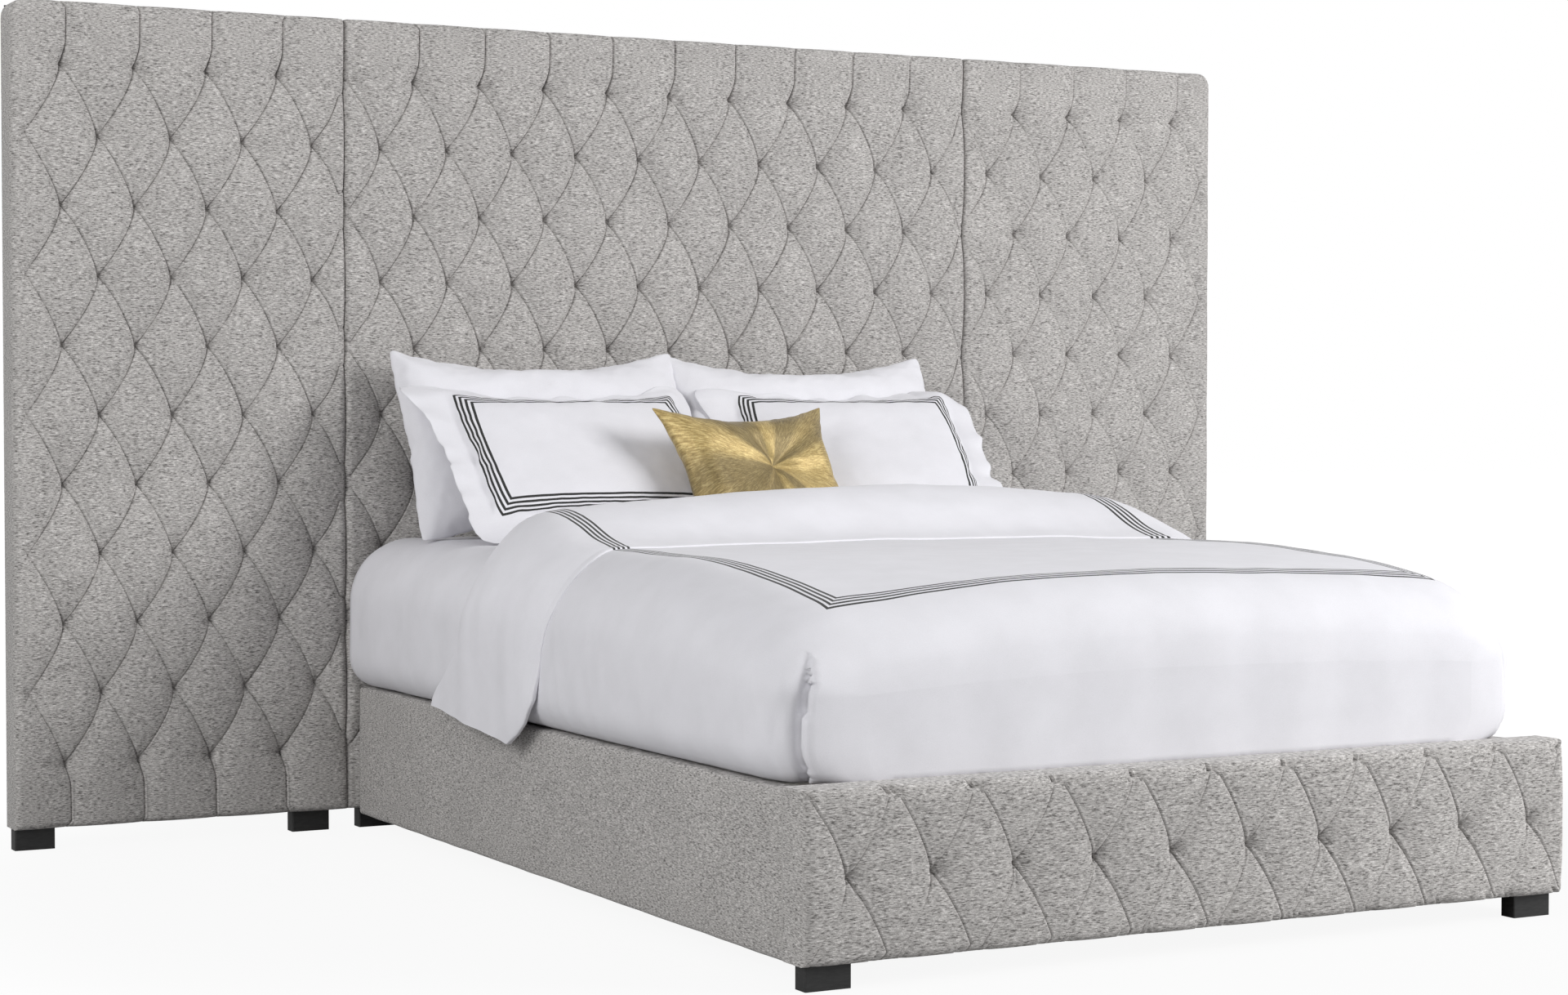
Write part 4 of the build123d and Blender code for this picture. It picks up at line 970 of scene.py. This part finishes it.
def set_pillow(case, cad_node, lean, turn=0.0, shift=(0, 0, 0), settle=0.010, against=()):
    """Stands a finished pillow in its place, leaning back and turned a little, its lower edge settled on the
    bed and its back pressed forward by the pillows behind it, with room for those to be lifted past it."""
    low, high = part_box(cad_node)
    middle = (low + high) / 2 + Vector(shift)
    x, up, out = points_of(case).T
    lean = radians(lean)
    back, z = up * np.sin(lean) - out * np.cos(lean), up * np.cos(lean) + out * np.sin(lean)
    turn = radians(turn)
    across, back = np.cos(turn) * x - np.sin(turn) * back, np.cos(turn) * back + np.sin(turn) * x
    y, z = middle.y + back, middle.z + z
    below = np.clip(low.z + settle - z, 0, None)
    z = z + below - settle * (1 - np.exp(-below / settle))
    co = np.stack([middle.x + across, y, z], 1)
    u, v, layer = labels(case)
    rim = (np.abs(u) > 0.999) | (np.abs(v) > 0.999)
    # The back stays 2 mm and the front 6 mm clear of what stands behind, and 6 mm from each other
    push = np.zeros(len(co))
    for other in against:
        tree = surface_of(other)
        for i, point in enumerate(co):
            for lift in (0, lift_room) if (rim[i] or layer[i] < 0) and other in rear_pillows else (0,):
                start = Vector((point[0], -2, point[2] + lift_upward * lift))
                hit = tree.ray_cast(start, Vector((0, 1, 0)))[0]
                if hit is not None:
                    clear = point[1] + lift_forward * lift - hit.y
                    push[i] = max(push[i], clear + 0.004 + 0.002 * layer[i])
    pairs = np.lexsort((layer, v.round(4), u.round(4)))
    behind, before = pairs[~rim[pairs]].reshape(-1, 2).T
    push[before] = np.maximum(push[before], push[behind] - co[behind, 1] + co[before, 1] + 0.006)
    edges = np.array([edge.vertices[:] for edge in case.data.edges])
    # The push is eased out to the points round it, but stays at its least everywhere
    least, joined = push.copy(), np.bincount(edges.ravel(), minlength=len(co))
    for _ in range(14 if push.any() else 0):
        near = (np.bincount(edges[:, 0], push[edges[:, 1]], len(co))
                + np.bincount(edges[:, 1], push[edges[:, 0]], len(co)))
        push = np.maximum(least, near / joined)
    co[:, 1] -= push
    case.data.vertices.foreach_set("co", co.ravel())
    smooth = case.modifiers.new("smooth", "SUBSURF")
    smooth.levels = smooth.render_levels = 1
    bpy.ops.object.select_all(action="DESELECT")
    case.select_set(True)
    bpy.context.view_layer.objects.active = case
    bpy.ops.object.modifier_apply(modifier="smooth")
    bpy.ops.object.shade_smooth()


def crease(case, pulls):
    """Presses soft creases into a pillow's two faces, round points on it: each pull is the point's place
    across and up, the number of creases, their depth and their reach."""
    co = points_of(case)
    half = np.abs(co[:, :2]).max(0)
    for u, v, count, depth, reach in pulls:
        dx, dy = co[:, 0] - u * half[0], co[:, 1] - v * half[1]
        away, turn = np.hypot(dx, dy), np.arctan2(dy, dx)
        press = depth * np.sin(count * turn + 3 * u + 5 * v) * np.exp(-away / reach)
        co[:, 2] += np.sign(co[:, 2]) * press * np.clip(away / 0.02, 0, 1)
    case.data.vertices.foreach_set("co", co.ravel())


pillow_width, pillow_height, pillow_thickness, pillow_cell = 0.715, 0.490, 0.118, 0.0125
rear_pillows = []
for number, cad_node in enumerate(("rear_pillow_left", "rear_pillow_right")):
    pillow = stuffed(cad_node + "_case", pillow_width, pillow_height, pillow_thickness, pillow_cell,
                     seed=11 + number, pinch=0.026)
    crease(pillow, [(-1, 1, 9, 0.004, 0.10), (1, 1, 9, 0.004, 0.10), (-0.2, 1, 5, 0.004, 0.12),
                    (0.5, 1, 6, 0.003, 0.1)])
    square_sides(pillow)
    set_pillow(pillow, cad_node, lean=26, shift=(-0.006 - 0.008 * number, 0, (0.019, 0.012)[number]))
    finish_soft(pillow, cad_node, sheet_cotton, cad_node)
    rear_pillows.append(pillow)


def sham_band(tree, place):
    """Distance outside a sham's line of bands, from its own flat cloth."""
    flat = add_node(tree, "TexCoord").outputs["UV"]
    axes = add_node(tree, "SeparateXYZ", _0=flat)
    beyond = []
    for socket, reach, inset in ((axes.outputs[0], sham_width, 0.021), (axes.outputs[1], sham_height, 0.019)):
        middle = maths(tree, "ABSOLUTE", maths(tree, "SUBTRACT", socket, 0.5))
        middle = maths(tree, "MULTIPLY", middle, reach)
        beyond.append(maths(tree, "SUBTRACT", middle, reach / 2 - inset))
    return maths(tree, "MAXIMUM", beyond[0], beyond[1])


sham_width, sham_height, sham_thickness, flange = 0.588, 0.415, 0.084, 0.058
sham_cotton = white_cotton("white_sham", sham_band, bright=1.04)
shams = []
for number, cad_node, shift, ears, falls in (
        (1, "sham_right", (-0.008, -0.020, 0.0135), (0.9, -0.5), (0.3, 0.05, 0.6, 0.1)),
        (0, "sham_left", (0.046, -0.020, 0.0135), (0.8, -0.3), (0.0, 0.5, 0.6, 0.1))):
    sham = stuffed(cad_node + "_case", sham_width - 0.022 * number, sham_height, sham_thickness, pillow_cell,
                   seed=21 + number, pinch=0.006)
    crease(sham, [(-1, 1, 8, 0.003, 0.08), (1, 1, 8, 0.003, 0.08), (-1, -1, 7, 0.003, 0.1),
                  (0.3, 1, 5, 0.0025, 0.1)])
    square_sides(sham)
    add_border(sham, flange, 3 * number + 1, ears, falls)
    set_pillow(sham, cad_node, lean=45, turn=(2, -7)[number], shift=shift, against=rear_pillows + shams)
    finish_soft(sham, cad_node, sham_cotton, cad_node)
    shams.append(sham)

# The cushion's satin threads all run out from one point on its front, a little right of the middle
burst_x, burst_y, cushion_width, cushion_height = 0.027, 0.002, 0.485, 0.345
gold_fabric, tree, place, shader = new_material("gold_fabric", roughness=0.5, sheen=0.1, Metallic=0.35)
flat = add_node(tree, "TexCoord").outputs["UV"]
spread = add_node(tree, "VectorMath", {"operation": "SUBTRACT"}, _0=flat,
                  _1=(0.5 + burst_x / cushion_width, 0.5 + burst_y / cushion_height, 0)).outputs[0]
spread = add_node(tree, "VectorMath", {"operation": "MULTIPLY"}, _0=spread,
                  _1=(cushion_width, cushion_height, 0)).outputs[0]
outward = add_node(tree, "VectorMath", {"operation": "LENGTH"}, _0=spread).outputs["Value"]
ray = add_node(tree, "VectorMath", {"operation": "NORMALIZE"}, _0=spread).outputs[0]
ray = add_node(tree, "SeparateXYZ", _0=ray)
depth = maths(tree, "MULTIPLY", outward, 0.9)
along = add_node(tree, "CombineXYZ", _0=ray.outputs[0], _1=ray.outputs[1], _2=depth).outputs[0]
threads = add_node(tree, "TexNoise", Vector=along, Scale=64.0, Detail=3.0).outputs[0]
# Broad fans round the burst, darker and brighter, are painted shade and painted highlight on the satin,
# multiplied into its colour
painted_sector_light = add_node(tree, "TexNoise", Vector=along, Scale=1.7, Detail=0.0).outputs[0]
speckle = stretched(tree, place, (260, 260, 260), 3.0)
colour = ramp(tree, threads, (0.30, (0.26, 0.182, 0.062, 1)), (0.5, (0.41, 0.300, 0.115, 1)),
              (0.68, (0.60, 0.475, 0.215, 1)))
colour = mix(tree, "MULTIPLY", 0.75, colour, ramp(tree, painted_sector_light, (0.42, grey(0.45)), (0.56, grey(1.2))))
colour = mix(tree, "MULTIPLY", 0.5, colour, ramp(tree, speckle, (0.35, grey(0.6)), (0.65, grey(1.0))))
paint(tree, shader, colour, maths(tree, "ADD", threads, speckle), 0.4, 0.001)
cushion = stuffed("gold_cushion_case", cushion_width, cushion_height, thickness=0.104, cell=0.0085,
                  seed=31, pinch=0.034)
bpy.ops.object.mode_set(mode="EDIT")
bpy.ops.mesh.select_all(action="SELECT")
bpy.ops.mesh.vertices_smooth(factor=0.5, repeat=10, xaxis=False, yaxis=False)
bpy.ops.object.mode_set(mode="OBJECT")
co = points_of(cushion)
u, v, layer = labels(cushion)
dx, dy = co[:, 0] - burst_x, co[:, 1] - burst_y
away, turn = np.hypot(dx, dy), np.arctan2(dy, dx)
broad = np.sin(5 * turn + 0.9) + 0.45 * np.sin(8 * turn + 0.4) + 0.12 * np.sin(17 * turn)
press = 0.0070 * broad * np.exp(-away / 0.12) * np.clip(away / 0.02, 0, 1) - 0.024 * np.exp(-away / 0.030)
fade = np.clip(1.08 - np.maximum(np.abs(u), np.abs(v)), 0, 0.25) * 4
co[:, 2] += np.where(layer > 0, 1, -0.3) * press * fade
cushion.data.vertices.foreach_set("co", co.ravel())
set_pillow(cushion, "gold_cushion", lean=31, turn=9, shift=(0.012, 0, 0.010), against=shams)
finish_soft(cushion, "gold_cushion", gold_fabric, "gold_cushion")

low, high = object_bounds()
